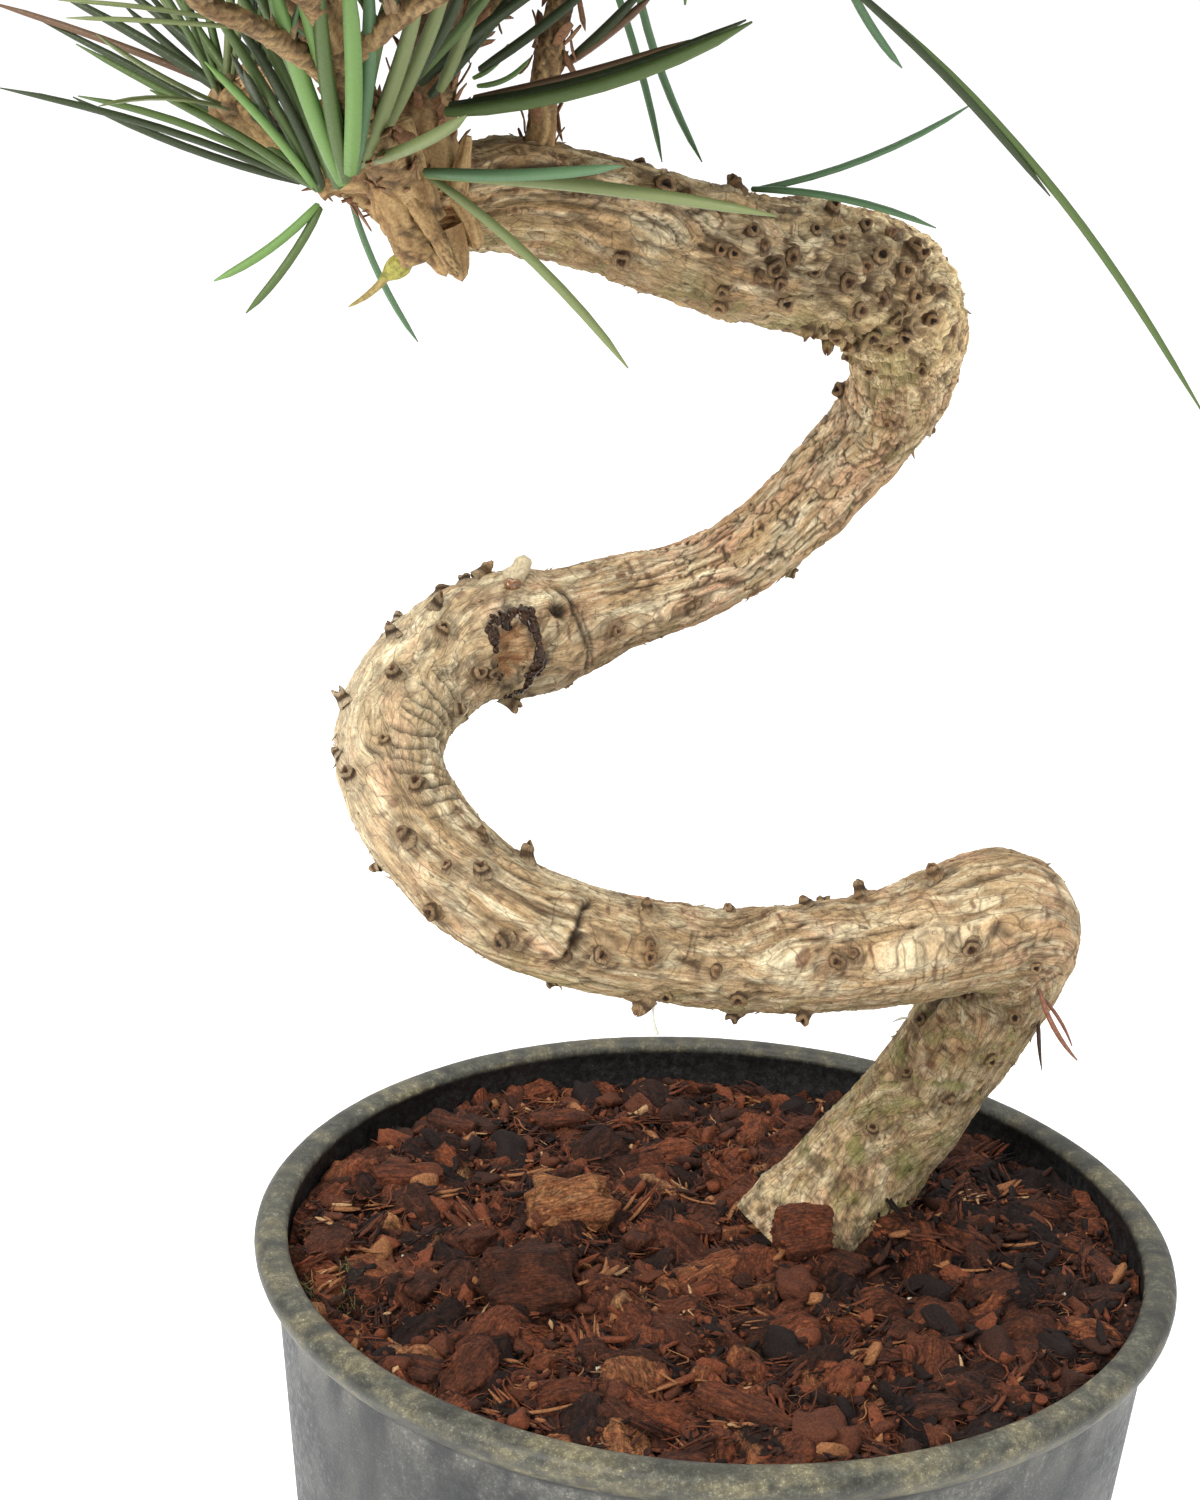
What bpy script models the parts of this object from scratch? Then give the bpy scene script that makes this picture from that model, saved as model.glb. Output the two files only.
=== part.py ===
"""Potted Japanese black pine, trained in a rising spiral, in a round plastic pot.

Units are metres, +Z is up, and the origin is the centre of the pot's flat underside.
The stem leaves the growing medium, turns once round the pot in an open spiral and ends
in a whorl of shoots, each of which carries a mass of needles.
"""

import math

import bmesh
import bpy
import numpy as np
from mathutils import Vector, noise
from mathutils.bvhtree import BVHTree

# ---------------------------------------------------------------- driving dimensions
MM = 0.001
GAP = 0.3 * MM                    # clearance between neighbouring pieces

POT_RIM_R = 75.0 * MM             # outer radius of the rolled rim
POT_HEIGHT = 125.0 * MM           # underside to top of rim
POT_LIP = 5.4 * MM                # width of the rim's top
POT_RIM_DROP = 7.4 * MM           # rim top to where the plain wall starts
POT_WALL = 1.7 * MM               # wall thickness
POT_FOOT_R = 59.6 * MM            # outer radius of the wall at the underside
POT_FLOOR = 1.9 * MM              # floor thickness
DRAIN_COUNT = 6
DRAIN_R = 5.0 * MM
DRAIN_RING_R = 40.0 * MM

MEDIUM_LEVEL = 119.3 * MM         # mean height of the medium's surface
MEDIUM_SLOPE = -0.030             # it lies lower at the back
MEDIUM_LUMP = 1.1 * MM

STEM_CUT_Z = 119.0 * MM           # flat cut of the stem at the medium's surface
STEM_SIDES = 16
STEM_STEP = 4.2 * MM
ROOT_FLARE = 0.20                 # widening of the stem at the cut
ROOT_FLARE_FADE = 9.0 * MM

# The spiral's bends: x, y, z and stem radius, in millimetres, from the ground up.
STEM_BENDS = (
    (18.4, 17.0, 119.5, 11.2),    # at the medium
    (30.3, 20.5, 136.2, 9.6),     # leaning stem
    (40.0, 18.5, 154.5, 9.6),
    (44.2, 13.8, 169.0, 10.8),    # knee, underside
    (42.6, 8.0, 178.2, 12.0),     # knee
    (35.4, 2.0, 179.8, 10.7),
    (25.6, -4.4, 179.0, 9.5),     # lower sweep
    (9.5, -14.4, 180.2, 8.3),
    (-10.0, -24.0, 184.0, 7.7),
    (-27.5, -29.5, 189.4, 7.8),
    (-42.5, -28.0, 197.0, 8.0),
    (-54.6, -13.0, 208.2, 8.3),   # left bend
    (-52.0, 2.5, 215.4, 9.0),
    (-44.1, 10.5, 220.0, 9.4),
    (-34.1, 16.0, 220.6, 9.7),    # old wound
    (-24.4, 20.0, 223.4, 8.0),
    (-6.5, 25.5, 228.8, 6.5),     # thinnest stretch
    (11.3, 29.0, 244.4, 7.0),
    (20.2, 21.5, 261.0, 7.9),
    (19.2, 8.5, 275.2, 9.4),      # upper bend
    (11.7, -6.0, 284.8, 10.1),
    (-5.0, -23.5, 291.2, 8.9),
    (-26.0, -40.5, 300.0, 8.0),   # crown limb
    (-40.0, -52.0, 304.6, 7.4),
    (-49.5, -58.5, 304.6, 6.6),   # whorl
)
WHORL_DOME = 5.0 * MM             # rounded end past the whorl's centre

# Where the stem is parted at its bends, as the number of the bend above.
STEM_PARTS = (
    ("trunk_base_stem", 0.0, 4.0),
    ("trunk_lower_sweep", 4.0, 11.0),
    ("trunk_middle_rise", 11.0, 19.0),
    ("trunk_crown_limb", 19.0, 24.0),
)

# Needle masses: centre and half sizes in millimetres, seed of the uneven surface.
MASSES = (
    ("needles_left", (-84.0, -66.0, 322.0), (29.0, 26.0, 21.0), 1),
    ("needles_front", (-60.0, -99.0, 338.0), (28.0, 30.0, 27.0), 2),
    ("needles_leader", (-44.0, -56.0, 352.0), (30.0, 30.0, 27.0), 3),
    ("needles_back", (-28.0, -6.0, 354.0), (34.0, 31.0, 27.0), 4),
    ("needles_back_left", (-82.0, -22.0, 352.0), (28.0, 28.0, 24.0), 5),
    ("needles_right", (8.0, -48.0, 374.0), (38.0, 35.0, 30.0), 6),
    ("needles_front_right", (-14.0, -98.0, 370.0), (32.0, 30.0, 28.0), 7),
    ("needles_upper_left", (-82.0, -70.0, 380.0), (30.0, 30.0, 27.0), 8),
    ("needles_top", (-36.0, -50.0, 402.0), (38.0, 38.0, 31.0), 9),
)
MASS_UNEVEN = 0.30
MASS_GAP = 0.5 * MM

# Shoots: start on the stem (number of the bend, direction) and the mass each one feeds.
SHOOTS = (
    ("shoot_left", 24.0, (-0.96, -0.12, 0.30), "needles_left", 3.3),
    ("shoot_leader", 24.0, (0.04, 0.06, 1.0), "needles_leader", 4.2),
    ("shoot_front", 24.0, (-0.28, -0.86, 0.52), "needles_front", 3.2),
    ("shoot_back_left", 24.0, (-0.62, 0.66, 0.58), "needles_back_left", 2.9),
    ("shoot_back", 24.0, (0.42, 0.72, 0.55), "needles_back", 2.2),
    ("shoot_standing", 22.75, (-0.04, -0.12, 1.0), "needles_right", 2.2),
    ("shoot_front_right", 22.75, (0.52, -0.66, 0.54), "needles_front_right", 1.8),
)
# A shoot that leaves another one, and how far along that one: its number of the bend is not used.
SHOOT_FORKS = {"shoot_back": ("shoot_leader", 0.30), "shoot_front_right": ("shoot_standing", 0.46)}
SHOOT_TIP = 0.62                  # tip radius over base radius
SHOOT_SIDES = 10

COLOURS = {
    "pot": ((0.055, 0.060, 0.063), 0.5),
    "growing_medium": ((0.105, 0.040, 0.024), 0.9),
    "bark": ((0.42, 0.30, 0.19), 0.85),
    "shoot": ((0.36, 0.20, 0.10), 0.8),
    "needles": ((0.045, 0.14, 0.05), 0.55),
}


# ---------------------------------------------------------------- scene helpers
def clear_scene():
    for obj in list(bpy.data.objects):
        bpy.data.objects.remove(obj, do_unlink=True)


def collection(name, hidden=False):
    made = bpy.data.collections.new(name)
    made.hide_render = hidden
    bpy.context.scene.collection.children.link(made)
    return made


def material(node, kind):
    colour, rough = COLOURS[kind]
    made = bpy.data.materials.new(node + "_finish")
    made.use_nodes = True
    shader = made.node_tree.nodes["Principled BSDF"]
    shader.inputs["Base Color"].default_value = (*colour, 1.0)
    shader.inputs["Roughness"].default_value = rough
    shader.inputs["Metallic"].default_value = 0.0
    return made


def add(name, mesh, kind, where):
    obj = bpy.data.objects.new(name, mesh)
    where.objects.link(obj)
    mesh.materials.clear()
    mesh.materials.append(material(name, kind))
    mesh.shade_smooth()
    mesh.set_sharp_from_angle(angle=math.radians(40))
    return obj


def applied(obj, name):
    """The object's evaluated mesh with its loose caps welded, in place of the object."""
    bpy.context.view_layer.update()
    graph = bpy.context.evaluated_depsgraph_get()
    mesh = bpy.data.meshes.new_from_object(obj.evaluated_get(graph))
    mesh.name = name
    mesh.transform(obj.matrix_world)
    bpy.data.objects.remove(obj, do_unlink=True)
    bm = bmesh.new()
    bm.from_mesh(mesh)
    bmesh.ops.remove_doubles(bm, verts=bm.verts, dist=1e-5)
    bmesh.ops.recalc_face_normals(bm, faces=bm.faces)
    bm.to_mesh(mesh)
    bm.free()
    return mesh


def turned(name, profile, steps, where):
    """A profile of (radius, height) points turned about Z, from the axis round to the axis."""
    mesh = bpy.data.meshes.new(name)
    mesh.from_pydata(
        [(r, 0.0, z) for r, z in profile],
        [(i, i + 1) for i in range(len(profile) - 1)],
        [],
    )
    obj = bpy.data.objects.new(name, mesh)
    where.objects.link(obj)
    screw = obj.modifiers.new("turn", "SCREW")
    screw.axis = "Z"
    screw.steps = screw.render_steps = steps
    screw.use_merge_vertices = True
    screw.merge_threshold = 0.0001
    return obj


# ---------------------------------------------------------------- pot and medium
def wall_radius(z):
    """Outer radius of the plain wall at height z."""
    top = POT_RIM_R - 3.7 * MM
    share = z / (POT_HEIGHT - POT_RIM_DROP)
    return POT_FOOT_R + (top - POT_FOOT_R) * share


def pot_profile():
    lip_in = POT_RIM_R - POT_LIP
    shoulder = POT_HEIGHT - POT_RIM_DROP
    rim = [
        (lip_in, POT_HEIGHT - 1.0 * MM),
        (lip_in + 0.8 * MM, POT_HEIGHT - 0.2 * MM),
        (POT_RIM_R - 2.6 * MM, POT_HEIGHT),
        (POT_RIM_R - 0.8 * MM, POT_HEIGHT - 0.7 * MM),
        (POT_RIM_R, POT_HEIGHT - 2.2 * MM),
        (POT_RIM_R - 0.3 * MM, POT_HEIGHT - 3.8 * MM),
        (POT_RIM_R - 1.6 * MM, POT_HEIGHT - 5.3 * MM),
        (POT_RIM_R - 3.0 * MM, POT_HEIGHT - 6.5 * MM),
    ]
    outside = [(wall_radius(z), z) for z in np.linspace(shoulder, 2.0 * MM, 5)]
    foot = [(POT_FOOT_R - 0.6 * MM, 0.6 * MM), (POT_FOOT_R - 1.4 * MM, 0.0), (0.0, 0.0)]
    inside = [
        (wall_radius(z) - POT_WALL, z)
        for z in np.linspace(POT_FLOOR, shoulder, 5)
    ]
    return rim + outside + foot, [(0.0, POT_FLOOR)] + inside


def build_pot(where, cutters):
    outer, inner = pot_profile()
    # the inner line climbs back to the lip, so the turned skin encloses only the wall
    obj = turned("pot_turned", [*outer, *inner, outer[0]], 48, where)
    mesh = applied(obj, "pot")
    pot = add("pot", mesh, "pot", where)
    for i in range(DRAIN_COUNT):
        angle = 2 * math.pi * (i + 0.5) / DRAIN_COUNT
        bpy.ops.mesh.primitive_cylinder_add(
            vertices=16,
            radius=DRAIN_R,
            depth=4 * POT_FLOOR,
            location=(DRAIN_RING_R * math.cos(angle), DRAIN_RING_R * math.sin(angle), 0.5 * POT_FLOOR),
        )
        hole = bpy.context.object
        hole.name = f"drain_cutter_{i}"
        for owner in list(hole.users_collection):
            owner.objects.unlink(hole)
        cutters.objects.link(hole)
        hole.hide_render = True
        hole.display_type = "WIRE"
        cut = pot.modifiers.new(f"drain_{i}", "BOOLEAN")
        cut.operation = "DIFFERENCE"
        cut.object = hole
    return pot


def medium_height(x, y):
    """Surface of the growing medium: a slope and low lumps, level round the stem."""
    lump = noise.noise(Vector((x * 55.0, y * 55.0, 4.0))) + 0.5 * noise.noise(Vector((x * 130.0, y * 130.0, 9.0)))
    z = MEDIUM_LEVEL + MEDIUM_SLOPE * y + MEDIUM_LUMP * lump
    bx, by = STEM_BENDS[0][0] * MM, STEM_BENDS[0][1] * MM
    away = math.hypot(x - bx, y - by)
    blend = min(1.0, max(0.0, (away - 17.0 * MM) / (8.0 * MM)))
    level = STEM_CUT_Z - GAP
    return level + (z - level) * blend


def build_medium(where):
    top = MEDIUM_LEVEL
    wall = [(wall_radius(z) - POT_WALL - GAP, z) for z in np.linspace(top, POT_FLOOR + GAP, 4)]
    reach = wall[0][0]
    surface = [(reach * k / 8.0, top) for k in range(0, 8)]
    profile = [*surface, *wall, (0.0, POT_FLOOR + GAP)]
    mesh = applied(turned("medium_turned", profile, 40, where), "growing_medium")
    for vertex in mesh.vertices:
        if vertex.co.z > top - 0.1 * MM:
            vertex.co.z = medium_height(vertex.co.x, vertex.co.y)
            reach = wall_radius(min(vertex.co.z, POT_HEIGHT - POT_RIM_DROP)) - POT_WALL - GAP
            out = math.hypot(vertex.co.x, vertex.co.y)
            if out > reach:
                vertex.co.x *= reach / out
                vertex.co.y *= reach / out
    return add("growing_medium", mesh, "growing_medium", where)


# ---------------------------------------------------------------- stem
class Spiral:
    """A smooth curve through the bends, with the stem's radius along it."""

    def __init__(self, rows):
        self.rows = np.array(rows, float) * MM
        step = np.linalg.norm(np.diff(self.rows[:, :3], axis=0), axis=1) ** 0.75
        self.knots = np.concatenate([[0.0], np.cumsum(step)])
        self.slopes = self.natural(self.knots, self.rows)

    @staticmethod
    def natural(t, y):
        """First derivatives at the knots of the natural cubic spline."""
        n = len(t)
        h = np.diff(t)
        a = np.zeros((n, n))
        b = np.zeros_like(y)
        a[0, 0], a[0, 1] = 2.0, 1.0
        b[0] = 3.0 * (y[1] - y[0]) / h[0]
        a[-1, -1], a[-1, -2] = 2.0, 1.0
        b[-1] = 3.0 * (y[-1] - y[-2]) / h[-1]
        for i in range(1, n - 1):
            a[i, i - 1] = h[i]
            a[i, i] = 2.0 * (h[i - 1] + h[i])
            a[i, i + 1] = h[i - 1]
            b[i] = 3.0 * (h[i] * (y[i] - y[i - 1]) / h[i - 1] + h[i - 1] * (y[i + 1] - y[i]) / h[i])
        return np.linalg.solve(a, b)

    def at(self, bend):
        """Point and radius at a bend number, which may lie between two bends."""
        i = min(int(bend), len(self.knots) - 2)
        h = self.knots[i + 1] - self.knots[i]
        u = bend - i
        y0, y1, m0, m1 = self.rows[i], self.rows[i + 1], self.slopes[i], self.slopes[i + 1]
        value = (
            (2 * u**3 - 3 * u**2 + 1) * y0
            + (u**3 - 2 * u**2 + u) * h * m0
            + (-2 * u**3 + 3 * u**2) * y1
            + (u**3 - u**2) * h * m1
        )
        return Vector(value[:3]), float(value[3])

    def along(self, bend):
        return (self.at(min(bend + 0.01, len(self.knots) - 1))[0] - self.at(max(bend - 0.01, 0))[0]).normalized()

    def stations(self, low, high, step):
        """(bend, point, radius) about every step of length between two bends."""
        fine = [low + (high - low) * k / 400 for k in range(401)]
        places = [self.at(b)[0] for b in fine]
        length = [0.0]
        for p, q in zip(places, places[1:]):
            length.append(length[-1] + (q - p).length)
        count = max(3, round(length[-1] / step))
        wanted = [length[-1] * k / count for k in range(count + 1)]
        found = [float(np.interp(w, length, fine)) for w in wanted]
        return [(b, *self.at(b)) for b in found]


def tapered(name, points, radii, sides, where):
    """A round limb along the points, as a curve with a bevel and filled ends, made a mesh."""
    curve = bpy.data.curves.new(name, "CURVE")
    curve.dimensions = "3D"
    curve.bevel_depth = 1.0
    curve.bevel_resolution = (sides - 4) // 2
    curve.use_fill_caps = True
    curve.twist_mode = "MINIMUM"
    spline = curve.splines.new("POLY")
    spline.points.add(len(points) - 1)
    for point, place, radius in zip(spline.points, points, radii):
        point.co = (*place, 1.0)
        point.radius = radius
    obj = bpy.data.objects.new(name + "_route", curve)
    where.objects.link(obj)
    return applied(obj, name)


def cut_flat(mesh, height):
    """Removes what lies below the height and closes the cut."""
    bm = bmesh.new()
    bm.from_mesh(mesh)
    geometry = bm.verts[:] + bm.edges[:] + bm.faces[:]
    made = bmesh.ops.bisect_plane(
        bm, geom=geometry, plane_co=(0, 0, height), plane_no=(0, 0, 1), clear_inner=True, dist=1e-7
    )
    edges = [e for e in made["geom_cut"] if isinstance(e, bmesh.types.BMEdge)]
    bmesh.ops.holes_fill(bm, edges=edges)
    bmesh.ops.recalc_face_normals(bm, faces=bm.faces)
    bm.to_mesh(mesh)
    bm.free()


def build_stem(spiral, where):
    spheres = []
    for name, low, high in STEM_PARTS:
        rows = spiral.stations(low, high, STEM_STEP)
        points = [p for _, p, _ in rows]
        radii = [r for _, _, r in rows]
        for k, (point, radius) in enumerate(zip(points, radii)):
            rise = point.z - STEM_CUT_Z
            radii[k] = radius * (1.0 + ROOT_FLARE * math.exp(-max(rise, 0.0) / ROOT_FLARE_FADE))
        if low == 0.0:
            down = -spiral.along(0.0)
            points.insert(0, points[0] + down * 14.0 * MM)
            radii.insert(0, radii[0] * 1.04)
        else:
            ahead = spiral.along(low)
            points[0:1] = [points[0] + ahead * (GAP / 2), points[0] + ahead * (GAP / 2 + 1.0 * MM)]
            radii[0:1] = [radii[0], radii[0]]
        if high < len(STEM_BENDS) - 1:
            ahead = spiral.along(high)
            end = points[-1]
            points[-1:] = [end - ahead * (GAP / 2 + 1.0 * MM), end - ahead * (GAP / 2)]
            radii[-1:] = [radii[-1], radii[-1]]
        else:
            ahead = spiral.along(high)
            end, last = points[-1], radii[-1]
            for k in range(1, 5):
                turn = math.pi / 2 * k / 5
                points.append(end + ahead * WHORL_DOME * math.sin(turn))
                radii.append(last * math.cos(turn))
        mesh = tapered(name, points, radii, STEM_SIDES, where)
        if low == 0.0:
            cut_flat(mesh, STEM_CUT_Z)
        add(name, mesh, "bark", where)
        spheres += [(Vector(p), r) for p, r in zip(points, radii)]
    return spheres


# ---------------------------------------------------------------- needle masses and shoots
def planes_round(index):
    """Planes (normal, distance) about a mass that keep it clear of each other mass."""
    centre = Vector(MASSES[index][1]) * MM
    size = Vector(MASSES[index][2]) * MM
    planes = []
    for other, (_, place, half, _) in enumerate(MASSES):
        if other == index:
            continue
        apart = Vector(place) * MM - centre
        away = apart.normalized()
        own = Vector(tuple(size[k] * away[k] for k in range(3))).length
        theirs = Vector(tuple(half[k] * MM * away[k] for k in range(3))).length
        planes.append((away, apart.length * own / (own + theirs) - MASS_GAP / 2))
    return centre, size, planes


def keep_off(planes, centre, spheres, margin):
    for place, radius in spheres:
        apart = place - centre
        planes.append((apart.normalized(), apart.length - radius - margin))


def mass_radius(toward, size, planes, seed):
    """Distance from a mass's centre to its uneven surface in one direction."""
    inverse = math.sqrt(sum((toward[k] / size[k]) ** 2 for k in range(3)))
    lumps = noise.noise(toward * 1.7 + Vector((seed * 7.3, 0, 0)))
    lumps += 0.55 * noise.noise(toward * 3.9 + Vector((0, seed * 5.1, 0)))
    reach = (1.0 + MASS_UNEVEN * lumps) / inverse
    for away, distance in planes:
        facing = toward.dot(away)
        if facing > 1e-6:
            reach = min(reach, distance / facing)
    return reach


def build_mass(name, centre, size, planes, seed, where):
    mesh = bpy.data.meshes.new(name)
    bm = bmesh.new()
    bmesh.ops.create_icosphere(bm, subdivisions=3, radius=1.0)
    for vertex in bm.verts:
        toward = vertex.co.normalized()
        vertex.co = centre + toward * mass_radius(toward, size, planes, seed)
    bmesh.ops.recalc_face_normals(bm, faces=bm.faces)
    bm.to_mesh(mesh)
    bm.free()
    return add(name, mesh, "needles", where)


def shoot_route(start, toward, goal, count=7):
    """A short arc that leaves along one direction and bends over to the goal."""
    span = (goal - start).length
    middle = start + toward * span * 0.5
    points = []
    for k in range(count):
        u = k / (count - 1)
        points.append((1 - u) ** 2 * start + 2 * u * (1 - u) * middle + u * u * goal)
    return points


def build_crown(spiral, stem_spheres, where):
    names = [row[0] for row in MASSES]
    routes = []
    for name, bend, toward, mass, base_mm in SHOOTS:
        place, radius = spiral.at(bend)
        toward = Vector(toward).normalized()
        ahead = spiral.along(bend)
        if name in SHOOT_FORKS:
            parent, share = SHOOT_FORKS[name]
            points, thick = next((row[2], row[3]) for row in routes if row[0] == parent)
            step = share * (len(points) - 1)
            first = int(step)
            place = points[first].lerp(points[first + 1], step - first)
            ahead = (points[first + 1] - points[first]).normalized()
            radius = thick
        lean = toward.dot(ahead)
        if lean > 0.6 and name not in SHOOT_FORKS:
            start = place + toward * (1.35 * radius + 1.6 * MM)
        else:
            off = (toward - ahead * lean).normalized()
            start = place + off * (1.03 * radius + 1.0 * MM + base_mm * MM * abs(lean))
        goal = Vector(MASSES[names.index(mass)][1]) * MM
        routes.append((name, mass, shoot_route(start, toward, goal), base_mm * MM))
    trees = {}
    for index, (name, _, _, seed) in enumerate(MASSES):
        centre, size, planes = planes_round(index)
        keep_off(planes, centre, stem_spheres, 1.2 * MM)
        for _, mass, points, base in routes:
            if mass == name:
                keep_off(planes, centre, [(points[0], base), (points[1], base)], 0.5 * MM)
            else:
                reach = (Vector(points[-1]) - Vector(points[0])).length
                near = [p for p in points if (p - points[0]).length < 0.62 * reach]
                keep_off(planes, centre, [(p, base) for p in near], 1.0 * MM)
        obj = build_mass(name, centre, size, planes, seed, where)
        bm = bmesh.new()
        bm.from_mesh(obj.data)
        trees[name] = BVHTree.FromBMesh(bm)
        bm.free()
    for name, mass, points, base in routes:
        inside = []
        for k in range(len(points) - 1):
            for part in range(12):
                inside.append(points[k].lerp(points[k + 1], part / 12))
        route = [inside[0]]
        for point in inside[1:]:
            place, _, _, distance = trees[mass].find_nearest(point)
            # the limb ends a little before its end face would meet any mass
            nearest = min(tree.find_nearest(point)[3] for tree in trees.values())
            if nearest < base * 0.9 + 0.4 * MM:
                break
            route.append(point)
        length = (route[-1] - route[0]).length
        if length < 3.0 * MM:
            raise ValueError(f"{name} is only {length / MM:.1f} mm long")
        keep = max(4, min(9, int(length / (3.0 * MM))))
        chosen = [route[round(k * (len(route) - 1) / (keep - 1))] for k in range(keep)]
        radii = [base * (1.0 + (SHOOT_TIP - 1.0) * k / (keep - 1)) for k in range(keep)]
        mesh = tapered(name, chosen, radii, SHOOT_SIDES, where)
        add(name, mesh, "shoot", where)


def main():
    clear_scene()
    parts = collection("potted_black_pine")
    cutters = collection("cutters", hidden=True)
    build_pot(parts, cutters)
    build_medium(parts)
    spiral = Spiral(STEM_BENDS)
    spheres = build_stem(spiral, parts)
    build_crown(spiral, spheres, parts)


main()
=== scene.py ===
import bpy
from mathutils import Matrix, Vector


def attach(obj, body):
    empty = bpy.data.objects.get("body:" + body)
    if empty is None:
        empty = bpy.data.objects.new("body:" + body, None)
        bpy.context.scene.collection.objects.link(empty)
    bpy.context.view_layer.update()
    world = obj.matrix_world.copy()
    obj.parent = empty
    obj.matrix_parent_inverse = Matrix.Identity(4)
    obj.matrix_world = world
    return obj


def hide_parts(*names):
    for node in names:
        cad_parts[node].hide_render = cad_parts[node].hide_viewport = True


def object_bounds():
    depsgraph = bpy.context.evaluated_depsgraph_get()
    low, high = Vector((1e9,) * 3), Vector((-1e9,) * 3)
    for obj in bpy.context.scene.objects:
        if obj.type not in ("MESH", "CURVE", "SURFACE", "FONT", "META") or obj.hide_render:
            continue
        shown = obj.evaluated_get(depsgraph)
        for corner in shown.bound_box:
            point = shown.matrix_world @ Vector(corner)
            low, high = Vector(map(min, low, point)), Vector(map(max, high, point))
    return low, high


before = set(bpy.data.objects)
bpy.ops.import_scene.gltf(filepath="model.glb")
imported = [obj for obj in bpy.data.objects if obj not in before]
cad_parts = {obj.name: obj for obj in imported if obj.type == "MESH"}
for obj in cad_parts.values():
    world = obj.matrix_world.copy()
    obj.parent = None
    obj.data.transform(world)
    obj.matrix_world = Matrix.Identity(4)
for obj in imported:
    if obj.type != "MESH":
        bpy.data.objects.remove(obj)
CAD_BOX = [list(corner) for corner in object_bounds()]

import math

import bmesh
import bpy
import numpy as np
from mathutils import Matrix, Vector

MM = 0.001
RNG = np.random.default_rng(20260411)

# ------------------------------------------------------------------ sizes shared with the CAD model, in millimetres
POT_RIM_R, POT_HEIGHT, POT_LIP, POT_RIM_DROP = 75.0, 125.0, 5.4, 7.4
POT_WALL, POT_FOOT_R, POT_FLOOR = 1.7, 59.6, 1.9
MEDIUM_LEVEL, MEDIUM_SLOPE, STEM_CUT_Z = 119.3, -0.030, 119.0
STEM_BENDS = np.array((
    (18.4, 17.0, 119.5, 11.2), (30.3, 20.5, 136.2, 9.6), (40.0, 18.5, 154.5, 9.6), (44.2, 13.8, 169.0, 10.8),
    (42.6, 8.0, 178.2, 12.0), (35.4, 2.0, 179.8, 10.7), (25.6, -4.4, 179.0, 9.5), (9.5, -14.4, 180.2, 8.3),
    (-10.0, -24.0, 184.0, 7.7), (-27.5, -29.5, 189.4, 7.8), (-42.5, -28.0, 197.0, 8.0), (-54.6, -13.0, 208.2, 8.3),
    (-52.0, 2.5, 215.4, 9.0), (-44.1, 10.5, 220.0, 9.4), (-34.1, 16.0, 220.6, 9.7), (-24.4, 20.0, 223.4, 8.0),
    (-6.5, 25.5, 228.8, 6.5), (11.3, 29.0, 244.4, 7.0), (20.2, 21.5, 261.0, 7.9), (19.2, 8.5, 275.2, 9.4),
    (11.7, -6.0, 284.8, 10.1), (-5.0, -23.5, 291.2, 8.9), (-26.0, -40.5, 300.0, 8.0), (-40.0, -52.0, 304.6, 7.4),
    (-49.5, -58.5, 304.6, 6.6)), float)
MASSES = {
    "needles_left": ((-84.0, -66.0, 322.0), (29.0, 26.0, 21.0)),
    "needles_front": ((-60.0, -99.0, 338.0), (28.0, 30.0, 27.0)),
    "needles_leader": ((-44.0, -56.0, 352.0), (30.0, 30.0, 27.0)),
    "needles_back": ((-28.0, -6.0, 354.0), (34.0, 31.0, 27.0)),
    "needles_back_left": ((-82.0, -22.0, 352.0), (28.0, 28.0, 24.0)),
    "needles_right": ((8.0, -48.0, 374.0), (38.0, 35.0, 30.0)),
    "needles_front_right": ((-14.0, -98.0, 370.0), (32.0, 30.0, 28.0)),
    "needles_upper_left": ((-82.0, -70.0, 380.0), (30.0, 30.0, 27.0)),
    "needles_top": ((-36.0, -50.0, 402.0), (38.0, 38.0, 31.0)),
}
STEM_NODES = ("trunk_base_stem", "trunk_lower_sweep", "trunk_middle_rise", "trunk_crown_limb")
SHOOT_NODES = ("shoot_left", "shoot_leader", "shoot_front", "shoot_back_left", "shoot_back", "shoot_standing", "shoot_front_right")

# ------------------------------------------------------------------ camera at the photograph's viewing angle
FOCAL = 3600.0                                  # in pixels of the 1200 x 1500 frame
EYE = np.array((-22.9, -521.2, 405.3))
PITCH, ROLL = math.radians(20.8), math.radians(2.97)
LOOK = np.array((0.0, math.cos(PITCH), -math.sin(PITCH)))
_side = np.array((1.0, 0.0, 0.0))
_up = np.cross(_side, LOOK)
SIDE = math.cos(ROLL) * _side + math.sin(ROLL) * _up
UP = -math.sin(ROLL) * _side + math.cos(ROLL) * _up


def pixel_ray(u, v):
    return LOOK + SIDE * (u - 600.0) / FOCAL - UP * (v - 750.0) / FOCAL


def pixel_at_y(u, v, y):
    """The point in space that a pixel of the frame shows, in the upright plane at this y."""
    ray = pixel_ray(u, v)
    return EYE + ray * (y - EYE[1]) / ray[1]


def pixel_at_z(u, v, z):
    ray = pixel_ray(u, v)
    return EYE + ray * (z - EYE[2]) / ray[2]


def to_pixel(points):
    d = np.asarray(points, float) - EYE
    z = d @ LOOK
    return np.stack([600.0 + FOCAL * (d @ SIDE) / z, 750.0 - FOCAL * (d @ UP) / z], -1)


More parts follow.
